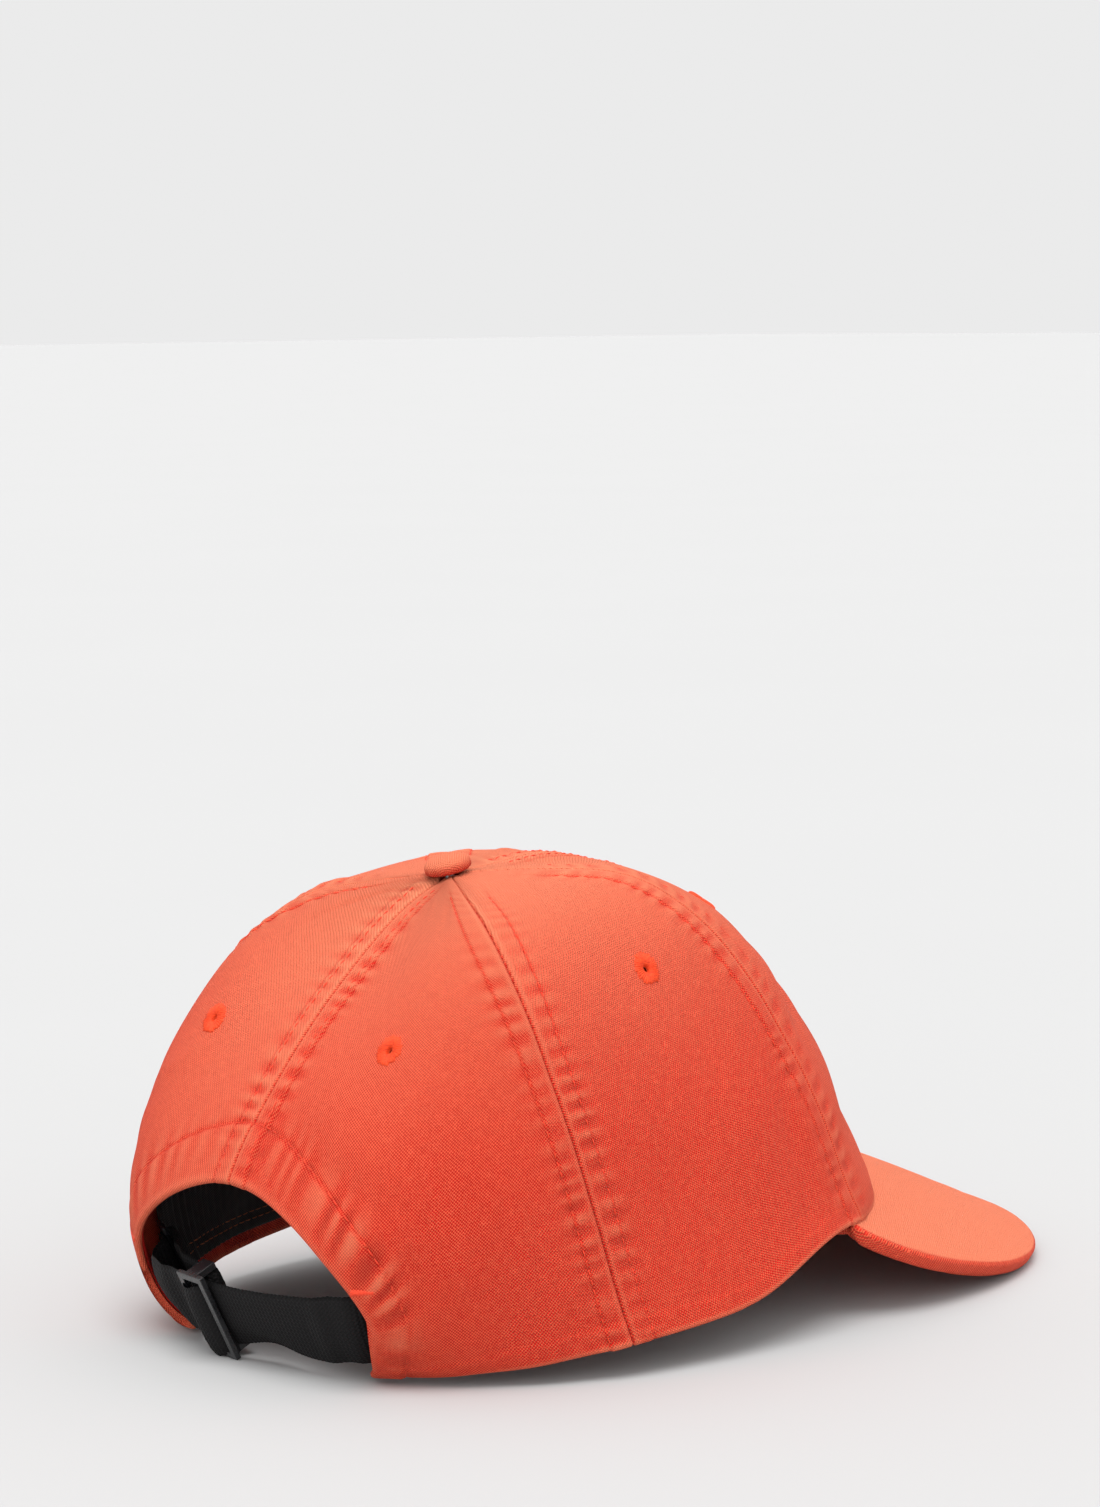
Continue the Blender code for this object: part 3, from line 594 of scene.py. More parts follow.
class Shader:
    """A material under construction: short calls that each add one node."""

    def __init__(self, name, roughness=0.8, metallic=0.0):
        self.material = bpy.data.materials.new(name)
        self.material.use_nodes = True
        self.tree = self.material.node_tree
        self.shader = self.tree.nodes["Principled BSDF"]
        self.shader.inputs["Roughness"].default_value = roughness
        self.shader.inputs["Metallic"].default_value = metallic

    def node(self, kind, **settings):
        made = self.tree.nodes.new(kind)
        for key, value in settings.items():
            setattr(made, key, value)
        return made

    def feed(self, socket, value):
        if isinstance(value, bpy.types.NodeSocket):
            self.tree.links.new(value, socket)
        else:
            socket.default_value = value

    def math(self, operation, *values, clamp=False):
        made = self.node("ShaderNodeMath", operation=operation, use_clamp=clamp)
        for socket, value in zip(made.inputs, values):
            self.feed(socket, value)
        return made.outputs[0]

    def blend(self, factor, low, high):
        made = self.node("ShaderNodeMix", data_type="RGBA")
        self.feed(made.inputs["Factor"], factor)
        for socket, value in ((made.inputs[6], low), (made.inputs[7], high)):
            self.feed(socket, (*value, 1.0) if isinstance(value, tuple) else value)
        return made.outputs[2]

    def scaled(self, vector, factors):
        made = self.node("ShaderNodeVectorMath", operation="MULTIPLY")
        self.feed(made.inputs[0], vector)
        made.inputs[1].default_value = factors
        return made.outputs[0]

    def noise(self, vector, scale, detail=2.0, roughness=0.5):
        made = self.node("ShaderNodeTexNoise")
        self.feed(made.inputs["Vector"], vector)
        made.inputs["Scale"].default_value = scale
        made.inputs["Detail"].default_value = detail
        made.inputs["Roughness"].default_value = roughness
        return made.outputs["Fac"]

    def place(self):
        return self.node("ShaderNodeTexCoord").outputs["Object"]

    def flat(self):
        return self.node("ShaderNodeUVMap", uv_map="cloth").outputs[0]

    def split(self, vector):
        made = self.node("ShaderNodeSeparateXYZ")
        self.feed(made.inputs[0], vector)
        return made.outputs[0], made.outputs[1]

    def attribute(self, name):
        return self.node("ShaderNodeAttribute", attribute_name=name).outputs["Fac"]

    def bump(self, height, distance, strength=1.0):
        made = self.node("ShaderNodeBump")
        made.inputs["Distance"].default_value = distance
        made.inputs["Strength"].default_value = strength
        self.feed(made.inputs["Height"], height)
        self.feed(self.shader.inputs["Normal"], made.outputs[0])

    def finish(self, colour, sheen=0.0, sheen_tint=(1.0, 1.0, 1.0), roughness=None):
        self.feed(self.shader.inputs["Base Color"], colour)
        self.shader.inputs["Sheen Weight"].default_value = sheen
        self.shader.inputs["Sheen Roughness"].default_value = 0.4
        self.shader.inputs["Sheen Tint"].default_value = (*sheen_tint, 1.0)
        if roughness is not None:
            self.feed(self.shader.inputs["Roughness"], roughness)
        return self.material


def weave(look, pitch):
    """Height and tone of a plain weave with uneven threads, from 0 to 1."""
    flat = look.flat()
    wobble = look.math("MULTIPLY", look.math("SUBTRACT", look.noise(look.place(), 210.0), 0.5), 0.0009)
    x, y = look.split(flat)
    across = look.math("SINE", look.math("MULTIPLY", look.math("ADD", x, wobble), math.pi / pitch))
    upward = look.math("SINE", look.math("MULTIPLY", look.math("SUBTRACT", y, wobble), math.pi / pitch))
    cell = look.math("MULTIPLY", across, upward)
    warp = look.noise(look.scaled(flat, (1 / pitch, 0.12 / pitch, 1.0)), 1.0, 1.0)
    weft = look.noise(look.scaled(flat, (0.12 / pitch, 1 / pitch, 1.0)), 1.0, 1.0)
    threads = look.math("SUBTRACT", look.math("ADD", warp, weft), 1.0)
    height = look.math("MULTIPLY_ADD", look.math("ABSOLUTE", cell), 0.4, look.math("MULTIPLY", cell, 0.6))
    height = look.math("ADD", height, look.math("MULTIPLY", threads, 0.6))
    tone = look.math("MULTIPLY_ADD", cell, 1.8, look.math("MULTIPLY_ADD", threads, 1.2, 0.44))
    return height, tone


def cotton(name, dark, light, lit_and_worn, pitch=0.00043, sheen=0.08):
    """Washed canvas: a plain weave, patchy dye, paler rubbed spots and painted highlights, and painted shade.
    """
    look = Shader(name, roughness=0.88)
    height, tone = weave(look, pitch)
    patches = look.math("MULTIPLY_ADD", look.noise(look.place(), 30.0, 2.0), 0.30, -0.15)
    tone = look.math("ADD", tone, patches, clamp=True)
    colour = look.blend(tone, dark, light)
    # Marks above zero pale the cloth, for rubbed wear and painted highlights; marks below zero darken it as
    # painted shade.
    wear_and_painted_light = look.math("MULTIPLY", look.attribute("wear_and_painted_light"), 0.55, clamp=True)
    colour = look.blend(wear_and_painted_light, colour, lit_and_worn)
    painted_shade = look.math("MULTIPLY", look.attribute("wear_and_painted_light"), -0.55, clamp=True)
    colour = look.blend(painted_shade, colour, tuple(0.45 * c for c in dark))
    look.bump(height, 0.00060)
    look.shader.inputs["Specular IOR Level"].default_value = 0.2
    return look.finish(colour, sheen=sheen, sheen_tint=(1.0, 0.64, 0.38))


def thread(name, dark, light, scale=1500.0):
    """Sewing thread: fine twisted strands with a soft shine."""
    look = Shader(name, roughness=0.62)
    strands = look.noise(look.scaled(look.place(), (1.0, 1.0, 2.4)), scale, 2.0)
    look.bump(strands, 0.00012)
    look.shader.inputs["Specular IOR Level"].default_value = 0.25
    return look.finish(look.blend(strands, dark, light))


def twill(name, dark, light, pitch=0.0007):
    """Brushed twill: diagonal ribs and a dusty nap."""
    look = Shader(name, roughness=0.92)
    x, y = look.split(look.flat())
    diagonal = look.math("MULTIPLY", look.math("MULTIPLY_ADD", x, 0.75, y), 2 * math.pi / pitch)
    ribs = look.math("MULTIPLY_ADD", look.math("SINE", diagonal), 0.5, 0.5)
    dust = look.noise(look.place(), 420.0, 3.0, 0.65)
    tone = look.math("MULTIPLY", look.math("MULTIPLY_ADD", ribs, 0.5, 0.3), dust, clamp=True)
    look.bump(ribs, 0.00012)
    return look.finish(look.blend(tone, dark, light), sheen=0.12)


def ribbed_webbing(name, dark, light):
    """Heavy webbing: knotty ribs across it, each crossed by fine threads."""
    look = Shader(name, roughness=0.72)
    flat = look.flat()
    x, y = look.split(flat)
    rows = look.math("SINE", look.math("MULTIPLY", y, 2 * math.pi / 0.00115))
    slant = look.math("MULTIPLY_ADD", x, 2 * math.pi / 0.00125, look.math("MULTIPLY", rows, 1.1))
    knots = look.math("MULTIPLY_ADD", look.math("SINE", slant), 0.5, 0.5)
    fuzz = look.noise(look.place(), 1700.0, 2.0)
    tone = look.math("MULTIPLY", look.math("MULTIPLY_ADD", knots, 0.6, 0.2), fuzz, clamp=True)
    height = look.math("ADD", knots, look.math("MULTIPLY", rows, 0.22))
    look.bump(height, 0.00022)
    look.shader.inputs["Specular IOR Level"].default_value = 0.25
    return look.finish(look.blend(tone, dark, light))


def moulded_plastic(name, colour, scuffed):
    """Moulded plastic: a fine grain, faint scuffs and a satin shine."""
    look = Shader(name, roughness=0.3)
    grain = look.noise(look.place(), 2600.0, 2.0)
    scuffs = look.math("POWER", look.noise(look.scaled(look.place(), (1.0, 0.4, 1.0)), 240.0, 4.0, 0.7), 3.0)
    roughness = look.math("MULTIPLY_ADD", scuffs, 0.5, 0.20)
    look.shader.inputs["Specular IOR Level"].default_value = 0.8
    look.bump(grain, 0.00003)
    return look.finish(look.blend(scuffs, colour, scuffed), roughness=roughness)


def pressed_steel(name):
    """Thin pressed steel with faint drawing marks."""
    look = Shader(name, roughness=0.35, metallic=1.0)
    marks = look.noise(look.scaled(look.place(), (1.0, 1.0, 6.0)), 900.0, 2.0)
    look.bump(marks, 0.00003)
    roughness = look.math("MULTIPLY_ADD", marks, 0.25, 0.25)
    return look.finish(look.blend(marks, (0.42, 0.42, 0.43), (0.62, 0.62, 0.63)), roughness=roughness)


def make_looks():
    # The pale colour serves for rubbed wear and for painted light on the cloth's lit tops.
    dark, light, lit_and_worn = (0.60, 0.004, 0.0015), (1.0, 0.145, 0.066), (1.0, 0.32, 0.165)
    return {
        "cotton": cotton("canvas_outside", dark, light, lit_and_worn),
        # The inside facing is the cloth's own red, painted brighter and purer than the outer cloth as painted
        # light, standing in for light that reaches the inside of the crown.
        "lining": cotton(
            "canvas_inside", (0.95, 0.020, 0.014), (1.0, 0.050, 0.036), (1.0, 0.10, 0.07), sheen=0.0
        ),
        "thread": thread("topstitch_thread", (0.55, 0.022, 0.008), (0.95, 0.095, 0.038)),
        "eyelet": thread("eyelet_thread", (0.40, 0.014, 0.003), (1.0, 0.105, 0.022), 1200.0),
        "tan_thread": thread("sweatband_thread", (0.30, 0.08, 0.03), (0.55, 0.20, 0.09)),
        "twill": twill("sweatband_twill", (0.004, 0.004, 0.004), (0.050, 0.042, 0.042)),
        "tape": cotton(
            "seam_tape_cloth", (0.45, 0.02, 0.012), (0.72, 0.07, 0.04), (0.8, 0.12, 0.08), 0.0006, 0.0
        ),
        "webbing": ribbed_webbing("black_webbing", (0.0005, 0.0004, 0.0005), (0.009, 0.007, 0.008)),
        "plastic": moulded_plastic("black_plastic", (0.004, 0.004, 0.005), (0.015, 0.015, 0.016)),
        "board": moulded_plastic("board_plastic", (0.70, 0.70, 0.67), (0.80, 0.80, 0.78)),
        "steel": pressed_steel("button_steel"),
    }


# ---------------------------------------------------------------- crown pieces


def edge_crowded(count, strength=0.80):
    """Fractions from 0 to 1 that crowd together at both ends."""
    x = np.linspace(0, 1, count)
    return x - strength * np.sin(2 * math.pi * x) / (2 * math.pi)


def foot_crowded(count, strength=0.55):
    """Fractions from 0 to 1 that crowd together at 0."""
    x = np.linspace(0, 1, count)
    return x * (1 - strength) + strength * x**2


def make_panel(place, first, last, side, look):
    hand = "left" if side > 0 else "right"
    columns = (170 if last is REAR_SEAM else 120) // COARSE
    rows = 170 // COARSE
    w, s = np.meshgrid(edge_crowded(columns), foot_crowded(rows), indexing="ij")
    theta, t = panel_place(first, last, w, s, 0.00001)
    theta = theta * side
    outer, wear_and_painted_light = cloth_point(theta, t)
    edge = t * MM_PER_HEIGHT / 1000
    if last is REAR_SEAM:
        edge = np.minimum(edge, arch_distance(theta, t)[0])
    hem = 1 - smoothstep((edge - 0.0050) / 0.0012)
    inner = lining_point(theta, t, CLOTH + (HEM_CLOTH - CLOTH) * hem)
    centre = side * (first[0] + last[0]) / 2
    across, climbed = flat_coordinates(theta, t, centre)
    slant = math.radians({"front": 6, "side": 9, "rear": -7}[place] * side)
    flat = np.stack([
        across * math.cos(slant) - climbed * math.sin(slant),
        across * math.sin(slant) + climbed * math.cos(slant),
    ], axis=-1)
    panel = cloth_shell("crown_" + place + "_" + hand, outer, inner, look, "cap", flat, wear_and_painted_light)
    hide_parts(place + "_panel_" + hand)
    return panel


def offset_angle(middle, t, distance):
    """The angle at a distance round the crown from a seam, at each height."""
    rate = np.linalg.norm(crown_point(middle + 0.5, t) - crown_point(middle - 0.5, t), axis=-1)
    return middle + distance / rate


def make_topstitching(look):
    def stitch_line(theta, t):
        return cloth_point(theta, t, 0.00006)[0], crown_normal(theta, t)

    lines = []
    for side, seam in SEAMS:
        low = ARCH_TOP + 0.005 if seam is REAR_SEAM else 0.004
        t = bunched(np.full(260, seam[1]), np.linspace(0, 1, 260), low, 0.93)
        middle = side * seam_angle(seam, t)
        for hand in (-1, 1):
            lines.append(stitch_line(offset_angle(middle, t, hand * STITCH_OFFSET), t))
    lines.append(stitch_line(*arch_line(0.0094, 0.006)))
    thread_mesh = sew("crown_topstitching", lines, 0.00018, look)


def arch_line(distance, lowest, count=400):
    """Angles and heights of a line at a distance outside the rear opening's edge."""
    a = 1 - np.abs(np.linspace(-0.999, 0.999, count))
    sign = np.sign(np.linspace(-1, 1, count))

    def edge(values):
        half, t = arch_edge(np.clip(values, 0, 1))
        return np.stack([half * MM_PER_DEGREE, t * MM_PER_HEIGHT], axis=1)

    tangent = unit(edge(a + 0.004) - edge(a - 0.004))
    outward = np.stack([tangent[:, 1], -tangent[:, 0]], axis=1)
    place = edge(a) + outward * distance * 1000
    half = np.maximum(place[:, 0], 0) / MM_PER_DEGREE
    t = np.maximum(place[:, 1] / MM_PER_HEIGHT, lowest)
    return 180 - half * sign, t


def make_arch_facing(look):
    widths = np.linspace(0.0018, 0.0098, 9)
    lines = [arch_line(width, 0.008) for width in widths]
    theta = np.stack([line[0] for line in lines], axis=1)
    t = np.stack([line[1] for line in lines], axis=1)
    run = np.linspace(0, 0.2, theta.shape[0])[:, None] * np.ones(9)
    _, along = arch_distance(theta, t)
    ripple = 0.00018 * pucker(along, 90, 0.0062) * smoothstep((widths - 0.003) / 0.004)
    face = lining_point(theta, t, 0.0016 - ripple)
    back = lining_point(theta, t, 0.0022 - ripple)
    flat = np.stack([run, widths * np.ones_like(run)], axis=-1)
    facing = cloth_shell("arch_facing_tape", face, back, look, "cap", flat, np.zeros_like(run))
    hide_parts("arch_facing")


def make_tapes(look, sewing):
    names = {
        (1, FRONT_SEAM): "seam_tape_front",
        (1, FRONT_SIDE_SEAM): "seam_tape_front_left",
        (-1, FRONT_SIDE_SEAM): "seam_tape_front_right",
        (1, REAR_SIDE_SEAM): "seam_tape_rear_left",
        (-1, REAR_SIDE_SEAM): "seam_tape_rear_right",
        (1, REAR_SEAM): "seam_tape_rear",
    }
    for (side, seam), node in names.items():
        rear = seam is REAR_SEAM
        low = ARCH_TOP + 0.10 if rear else float(height_to_t(np.array(seam[0]), 0.0015))
        high = float(radius_to_t(np.array(seam[1]), 0.0080))
        w, s = np.meshgrid(np.linspace(-1, 1, 15), np.linspace(0, 1, 160), indexing="ij")
        t = bunched(np.full(w.shape, seam[1]), s, low, high)
        middle = side * seam_angle(seam, t)
        point = crown_point(middle, t)
        radius = np.hypot(point[..., 0], point[..., 1] - BUTTON_SETBACK)
        half = np.minimum(0.0049, radius * math.radians(20))
        theta = offset_angle(middle, t, w * half)
        edge = smoothstep((np.abs(w) - 0.72) / 0.28)
        run = np.interp(t, *along_seam(side, seam))
        wave = 0.00016 * pucker(run, 120, 0.0060) * np.abs(w)
        face = lining_point(theta, t, 0.0018 + 0.00012 * edge - wave)
        back = lining_point(theta, t, 0.0024 - 0.00015 * edge - wave)
        flat = np.stack([w * 0.005, run], axis=-1)
        tape = cloth_shell(node + "_cloth", face, back, look, "cap", flat, 0.2 * edge)
        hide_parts(node)
        lines = []
        for column in (2, 12):
            line = lining_point(theta[column], t[column], 0.00242 - wave[column])
            lines.append((line, -crown_normal(theta[column], t[column])))
        thread_mesh = sew(node + "_stitching", lines, 0.00016, sewing)


def seat_matrix(theta, t, up=Vector((0, 0, 1))):
    """A frame on the outer cloth: Z out of it, Y as near up as it can be."""
    point = Vector(cloth_point(np.array([theta]), np.array([t]))[0][0])
    out = Vector(crown_normal(np.array([theta]), np.array([t]))[0])
    across = up.cross(out).normalized()
    upward = out.cross(across)
    return Matrix.Translation(point) @ Matrix((across, upward, out)).transposed().to_4x4()


def make_eyelet(place, side, look):
    """A ring of thread wound round its hole, with every turn of thread raised."""
    hand = "left" if side > 0 else "right"
    angle, t = EYELETS[place]
    rng = np.random.default_rng(int(angle * 10) + (side > 0))
    turns, per_turn = 34, 6
    count = turns * per_turn
    section = np.array([
        (0.95, -1.2), (0.92, -0.6), (1.00, -0.05), (1.35, 0.28), (1.95, 0.46),
        (2.70, 0.46), (3.40, 0.34), (3.90, 0.12), (4.15, -0.22),
    ])
    phi = np.arange(count) * 2 * math.pi / count
    ridge = np.abs(np.sin(phi * turns / 2)) ** 0.7
    reach = np.repeat(rng.uniform(-0.45, 0.35, turns), per_turn)
    reach = (np.roll(reach, 1) + reach + np.roll(reach, -1)) / 3
    oval = 1 + 0.05 * np.cos(2 * phi + rng.uniform(0, 6))
    out_share = np.linspace(0, 1, len(section)) ** 2
    r = section[None, :, 0] * oval[:, None] + (reach[:, None] + 0.12 * ridge[:, None]) * out_share
    z = section[None, :, 1] - 0.10 + 0.30 * ridge[:, None] * np.clip(section[None, :, 0] - 0.8, 0, 1)
    vertices = np.stack([r * np.cos(phi)[:, None], r * np.sin(phi)[:, None], z], axis=-1) / 1000
    under = vertices[:, ::-1][:, 1:-1].copy()
    under[..., 2] = -0.0012
    points = np.concatenate([vertices, under], axis=1)
    faces = loop_shell_faces(count, points.shape[1]).tolist()
    last, n = (count - 1) * points.shape[1], points.shape[1]
    faces += [[last + j, j, (j + 1) % n, last + (j + 1) % n] for j in range(n)]
    eyelet = finish_mesh("eyelet_thread_" + place + "_" + hand, points, faces, look, "cap", in_cap=False)
    eyelet.data.transform(CAP_TO_WORLD @ seat_matrix(side * angle, t))
    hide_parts("eyelet_" + place + "_" + hand)


def pierce(panel, place, side):
    """Cuts the eyelet's hole through the cloth."""
    angle, t = EYELETS[place]
    bm = bmesh.new()
    bmesh.ops.create_cone(bm, cap_ends=True, segments=20, radius1=0.0016, radius2=0.0016, depth=0.012)
    mesh = bpy.data.meshes.new("punch")
    bm.to_mesh(mesh)
    bm.free()
    mesh.transform(CAP_TO_WORLD @ seat_matrix(side * angle, t))
    punch = bpy.data.objects.new("punch", mesh)
    bpy.context.scene.collection.objects.link(punch)
    cut = panel.modifiers.new("eyelet_hole", "BOOLEAN")
    cut.operation = "DIFFERENCE"
    cut.solver = "EXACT"
    cut.object = punch
    evaluated = panel.evaluated_get(bpy.context.evaluated_depsgraph_get())
    panel.data = bpy.data.meshes.new_from_object(evaluated)
    panel.modifiers.clear()
    bpy.data.objects.remove(punch)


def make_bartack(side, look):
    """Close zigzag stitches that lock the shoulder of the rear opening."""
    count = 15
    seat = seat_matrix(side * 155.5, 0.245)
    x = np.linspace(-2.9, 2.9, count) / 1000
    lean = 0.00022
    starts = points_of(x - lean, -0.00105 + 0 * x, -0.00010 + 0 * x)
    ends = points_of(x + lean, 0.00105 + 0 * x, -0.00010 + 0 * x)
    ups = points_of(0 * x, 0 * x, 1 + 0 * x)
    name = "bartack_thread_" + ("left" if side > 0 else "right")
    tack = stitch_mesh(name, starts, ends, ups, 0.00026, look, "cap", in_cap=False)
    tack.data.transform(CAP_TO_WORLD @ seat)
    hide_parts("bartack_" + ("left" if side > 0 else "right"))


def make_button_cover(look):
    """Cloth pulled over a domed button, gathered a little under its edge."""
    section = [(0.0001, 5.25)]
    dome = np.radians(np.arange(6, 96, 6))
    section += [(6.30 * math.sin(a) ** 0.85, 2.3 + 2.95 * math.cos(a)) for a in dome]
    section += [(6.25, 1.5), (6.0, 0.85), (5.5, 0.50), (5.0, 0.52), (4.9, 1.0)]
    section += [(5.72 * math.sin(a), 2.1 + 2.55 * math.cos(a)) for a in np.radians(np.arange(90, 0, -10))]
    section += [(0.0001, 4.65)]
    section = np.array(section)
    count = 96
    phi = np.arange(count) * 2 * math.pi / count
    low = np.clip((3.4 - section[:, 1]) / 2.5, 0, 1) * (section[:, 0] > 5.2)
    pleats = 0.12 * np.sin(phi * 13 + 0.6 * np.sin(phi * 3)) + 0.07 * np.sin(phi * 29)
    r = section[None, :, 0] + pleats[:, None] * low[None, :]
    lumps = 0.10 * np.cos(phi - 0.8)[:, None] * (section[None, :, 0] / 6.3)
    z = section[None, :, 1] * np.ones((count, 1)) + lumps
    points = np.stack([r * np.cos(phi)[:, None], r * np.sin(phi)[:, None], z], axis=-1) / 1000
    run = run_length(section) / 1000
    flat = np.stack([run[None, :] * np.cos(phi)[:, None], run[None, :] * np.sin(phi)[:, None]], axis=-1)
    n = points.shape[1]
    grid = loop_shell_faces(count, n).reshape(count - 1, n, 4)[:, : n - 1].reshape(-1, 4)
    last = (count - 1) * n
    faces = grid[:, ::-1].tolist() + [[last + j + 1, j + 1, j, last + j] for j in range(n - 1)]
    # Painted light and shade: the dome's top is painted paler, and the gathers under its edge darker.
    wear_and_painted_light = np.ones((count, 1)) * (1.1 - 1.2 * low)[None, :]
    cover = finish_mesh("button_cloth", points, faces, look, "cap", in_cap=False, flat=flat, wear_and_painted_light=wear_and_painted_light)
    seat = Matrix.Translation((0, BUTTON_SETBACK, CROWN_HEIGHT))
    lean = Matrix.Rotation(math.radians(7.0), 4, Vector((-0.73, 0.67, 0.0)))
    cover.data.transform(CAP_TO_WORLD @ seat @ lean)
    face_outwards(cover, weld=0.00002)
    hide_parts("top_button_cover")


# ---------------------------------------------------------------- visor


def visor_surface(u, v):
    theta = u * VISOR_HALF_ANGLE
    rim = rim_point(theta)
    side_y = -HALF_LENGTH_FRONT * math.cos(math.radians(VISOR_HALF_ANGLE))
    edge_x = VISOR_HALF_WIDTH * np.sin(u * math.pi / 2)
    outline = np.maximum(np.cos(u * math.pi / 2), 0) ** VISOR_OUTLINE
    edge_y = side_y - (HALF_LENGTH_FRONT + VISOR_REACH + side_y) * outline
    out = v * (1 - 0.98 * np.abs(u) ** 20)
    x, y = rim[..., 0] + (edge_x - rim[..., 0]) * out, rim[..., 1] + (edge_y - rim[..., 1]) * out
    return points_of(x, y, visor_height(x, y))


def visor_normal(point):
    slope = VISOR_SLOPE - 2 * VISOR_SAG * (point[..., 1] + HALF_LENGTH_FRONT)
    return unit(points_of(2 * VISOR_CURVE * point[..., 0], -slope, 1.0))


def visor_relief(point):
    crest = bell(point[..., 0], 0.045) * bell(point[..., 1] + HALF_LENGTH_FRONT + 0.018, 0.030)
    return 0.0012 * crest + 0.00022 * swell(point, 0.030, 61) + 0.00008 * swell(point, 0.011, 62)


def visor_sheet(name, outer, rows, facing_down, look, node):
    """One of the visor's covers; the grid's columns past rows go round the edge."""
    along = np.cumsum(np.linalg.norm(np.diff(outer[:, rows - 1 :], axis=1), axis=2), axis=1)
    flat = outer[..., :2] * np.array([1.0, 1.12])
    flat[:, rows:, 1] -= along * 0.9
    across = unit(np.gradient(outer, axis=0))
    forward = unit(np.gradient(outer, axis=1))
    out = unit(np.cross(forward, across)) * (-1 if facing_down else 1)
    inner = outer - out * 0.0006
    # Painted light: the top cover is painted paler than its edge band and underside, where light falls on the
    # top.
    painted_light_and_wear = np.full(outer.shape[:2], 0.1 if facing_down else 1.15)
    painted_light_and_wear[:, rows:] = 0.1
    piece = cloth_shell(name, outer, inner, look, "cap", flat, painted_light_and_wear)
    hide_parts(node)


def make_visor(look):
    columns, rows = 220 // COARSE, 64 // COARSE
    u = np.sin(np.linspace(-1, 1, columns) * 1.5)
    taper = 1 - 0.5 * smoothstep((np.abs(u) - 0.975) / 0.025)[:, None]
    edge = visor_surface(u, np.ones_like(u))
    normal = visor_normal(edge)
    tangent = unit(np.gradient(edge, axis=0))
    outward = unit(np.cross(normal, tangent))
    outward = outward * np.sign(np.sum(outward * (edge - np.array([0, -0.05, 0.0])), axis=1, keepdims=True))
    edge = edge + outward * 0.0009 * smoothstep((np.abs(u) - 0.80) / 0.10)[:, None]
    r, height = VISOR_EDGE_RADIUS, VISOR_EDGE_HEIGHT
    top_depth = 0.0007

    def rolled(profile):
        """Points round the visor's edge from (outward, down) offsets."""
        rings = [edge + outward * (o - r) - normal * (top_depth + d * taper) for o, d in profile]
        return np.stack(rings, axis=1)

    arc = [(r * math.sin(a), r - r * math.cos(a)) for a in np.radians([22, 45, 67, 90])]
    wall = [(r, r + (height - 2 * r) * f) for f in (0.33, 0.66, 1.0)]
    low_arc = [(r * math.cos(a), height - r + r * math.sin(a)) for a in np.radians([30, 60])]
    turn_in = [(r * 0.1, height - 0.00025), (r * 0.05, height - 0.0010)]

    uu, vv = np.meshgrid(u, np.linspace(-0.06, 1.0, rows), indexing="ij")
    surface = visor_surface(uu, np.maximum(vv, 0))
    inside = unit(surface * np.array([-1.0, -1.0, 0.0]))
    surface = surface + inside * (np.maximum(-vv, 0) * 0.08)[..., None]
    normals = visor_normal(surface)
    surface = surface - smoothstep(vv)[..., None] * outward[:, None, :] * r
    relief = visor_relief(surface)
    top = surface - normals * (top_depth - relief)[..., None]
    top_outer = np.concatenate([top, rolled(arc + wall + low_arc + turn_in)], axis=1)
    under_start = rolled([(-0.0002, height - 0.0010), (-0.0003, height - 0.0002), (-0.0008, height + 0.0001)])
    under = surface - normals * (top_depth + height * taper + 0.0001 - relief)[..., None]
    under_outer = np.concatenate([under, under_start[:, ::-1]], axis=1)

    visor_sheet("visor_top_cloth", top_outer, rows, False, look, "visor_top_cover")
    visor_sheet("visor_under_cloth", under_outer, rows, True, look, "visor_under_cover")


# ---------------------------------------------------------------- inside


def make_sweatband(look, sewing):
    """A twill band gathered where its ends are sewn down, with two rows of stitching."""
    columns, rows = 520 // COARSE, 24
    angle, up = np.meshgrid(np.linspace(-138, 138, columns), np.linspace(0, 1, rows), indexing="ij")
    height = 0.0052 + 0.0316 * up
    t = height_to_t(angle, height)
    base = crown_point(angle, t)
    ends = smoothstep((np.abs(angle) - 100) / 34)
    gathers = np.sin(angle * 1.55 + 0.8 * np.sin(angle * 0.31)) ** 2
    waves = 0.00025 * swell(base, 0.016, 71) + 0.0011 * ends * gathers
    flop = 0.0007 * smoothstep((up - 0.3) / 0.7) * (1 + swell(base, 0.045, 72))
    roll = 0.0003 * (bell(up - 0.02, 0.05) + bell(up - 0.98, 0.05))
    face = lining_point(angle, t, 0.0037 + waves + flop + roll)
    back = lining_point(angle, t, 0.0029 + waves * 0.8 + flop)
    run = run_length(base[:, 0])
    flat = np.stack([run[:, None] * np.ones(rows), height], axis=-1)
    band_piece = cloth_shell("sweatband_cloth", back, face, look, "cap", flat)
    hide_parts("sweatband")
    inward = -crown_normal(angle[:, 0], t[:, 2])
    lines = []
    for row in (0.085, 0.155):
        line = np.array([[np.interp(row, up[0], column[:, axis]) for axis in range(3)] for column in face])
        lines.append((line + inward * 0.00012, inward))
    thread_mesh = sew("sweatband_stitching", lines, 0.00017, sewing)


# ---------------------------------------------------------------- strap closure


def strap_place(along, out, up):
    """Strap coordinates: along its arc (+ to the wearer's left), out from it, up its width."""
    lean = math.radians(STRAP_LEAN)
    angle = along / STRAP_RADIUS
    radius = STRAP_RADIUS + up * math.sin(lean) + out * math.cos(lean)
    height = STRAP_MIDDLE_HEIGHT + up * math.cos(lean) - out * math.sin(lean)
    return points_of(radius * np.sin(angle), STRAP_AXIS_Y + radius * np.cos(angle), height)


def tuck(along):
    """How far the strap sinks: just under the opening's legs, then on down to the ring."""
    reach = np.abs(along)
    under_leg = 0.0014 * smoothstep((reach - 0.028) / 0.006)
    return -under_leg - 0.0031 * smoothstep((reach - 0.037) / 0.009)


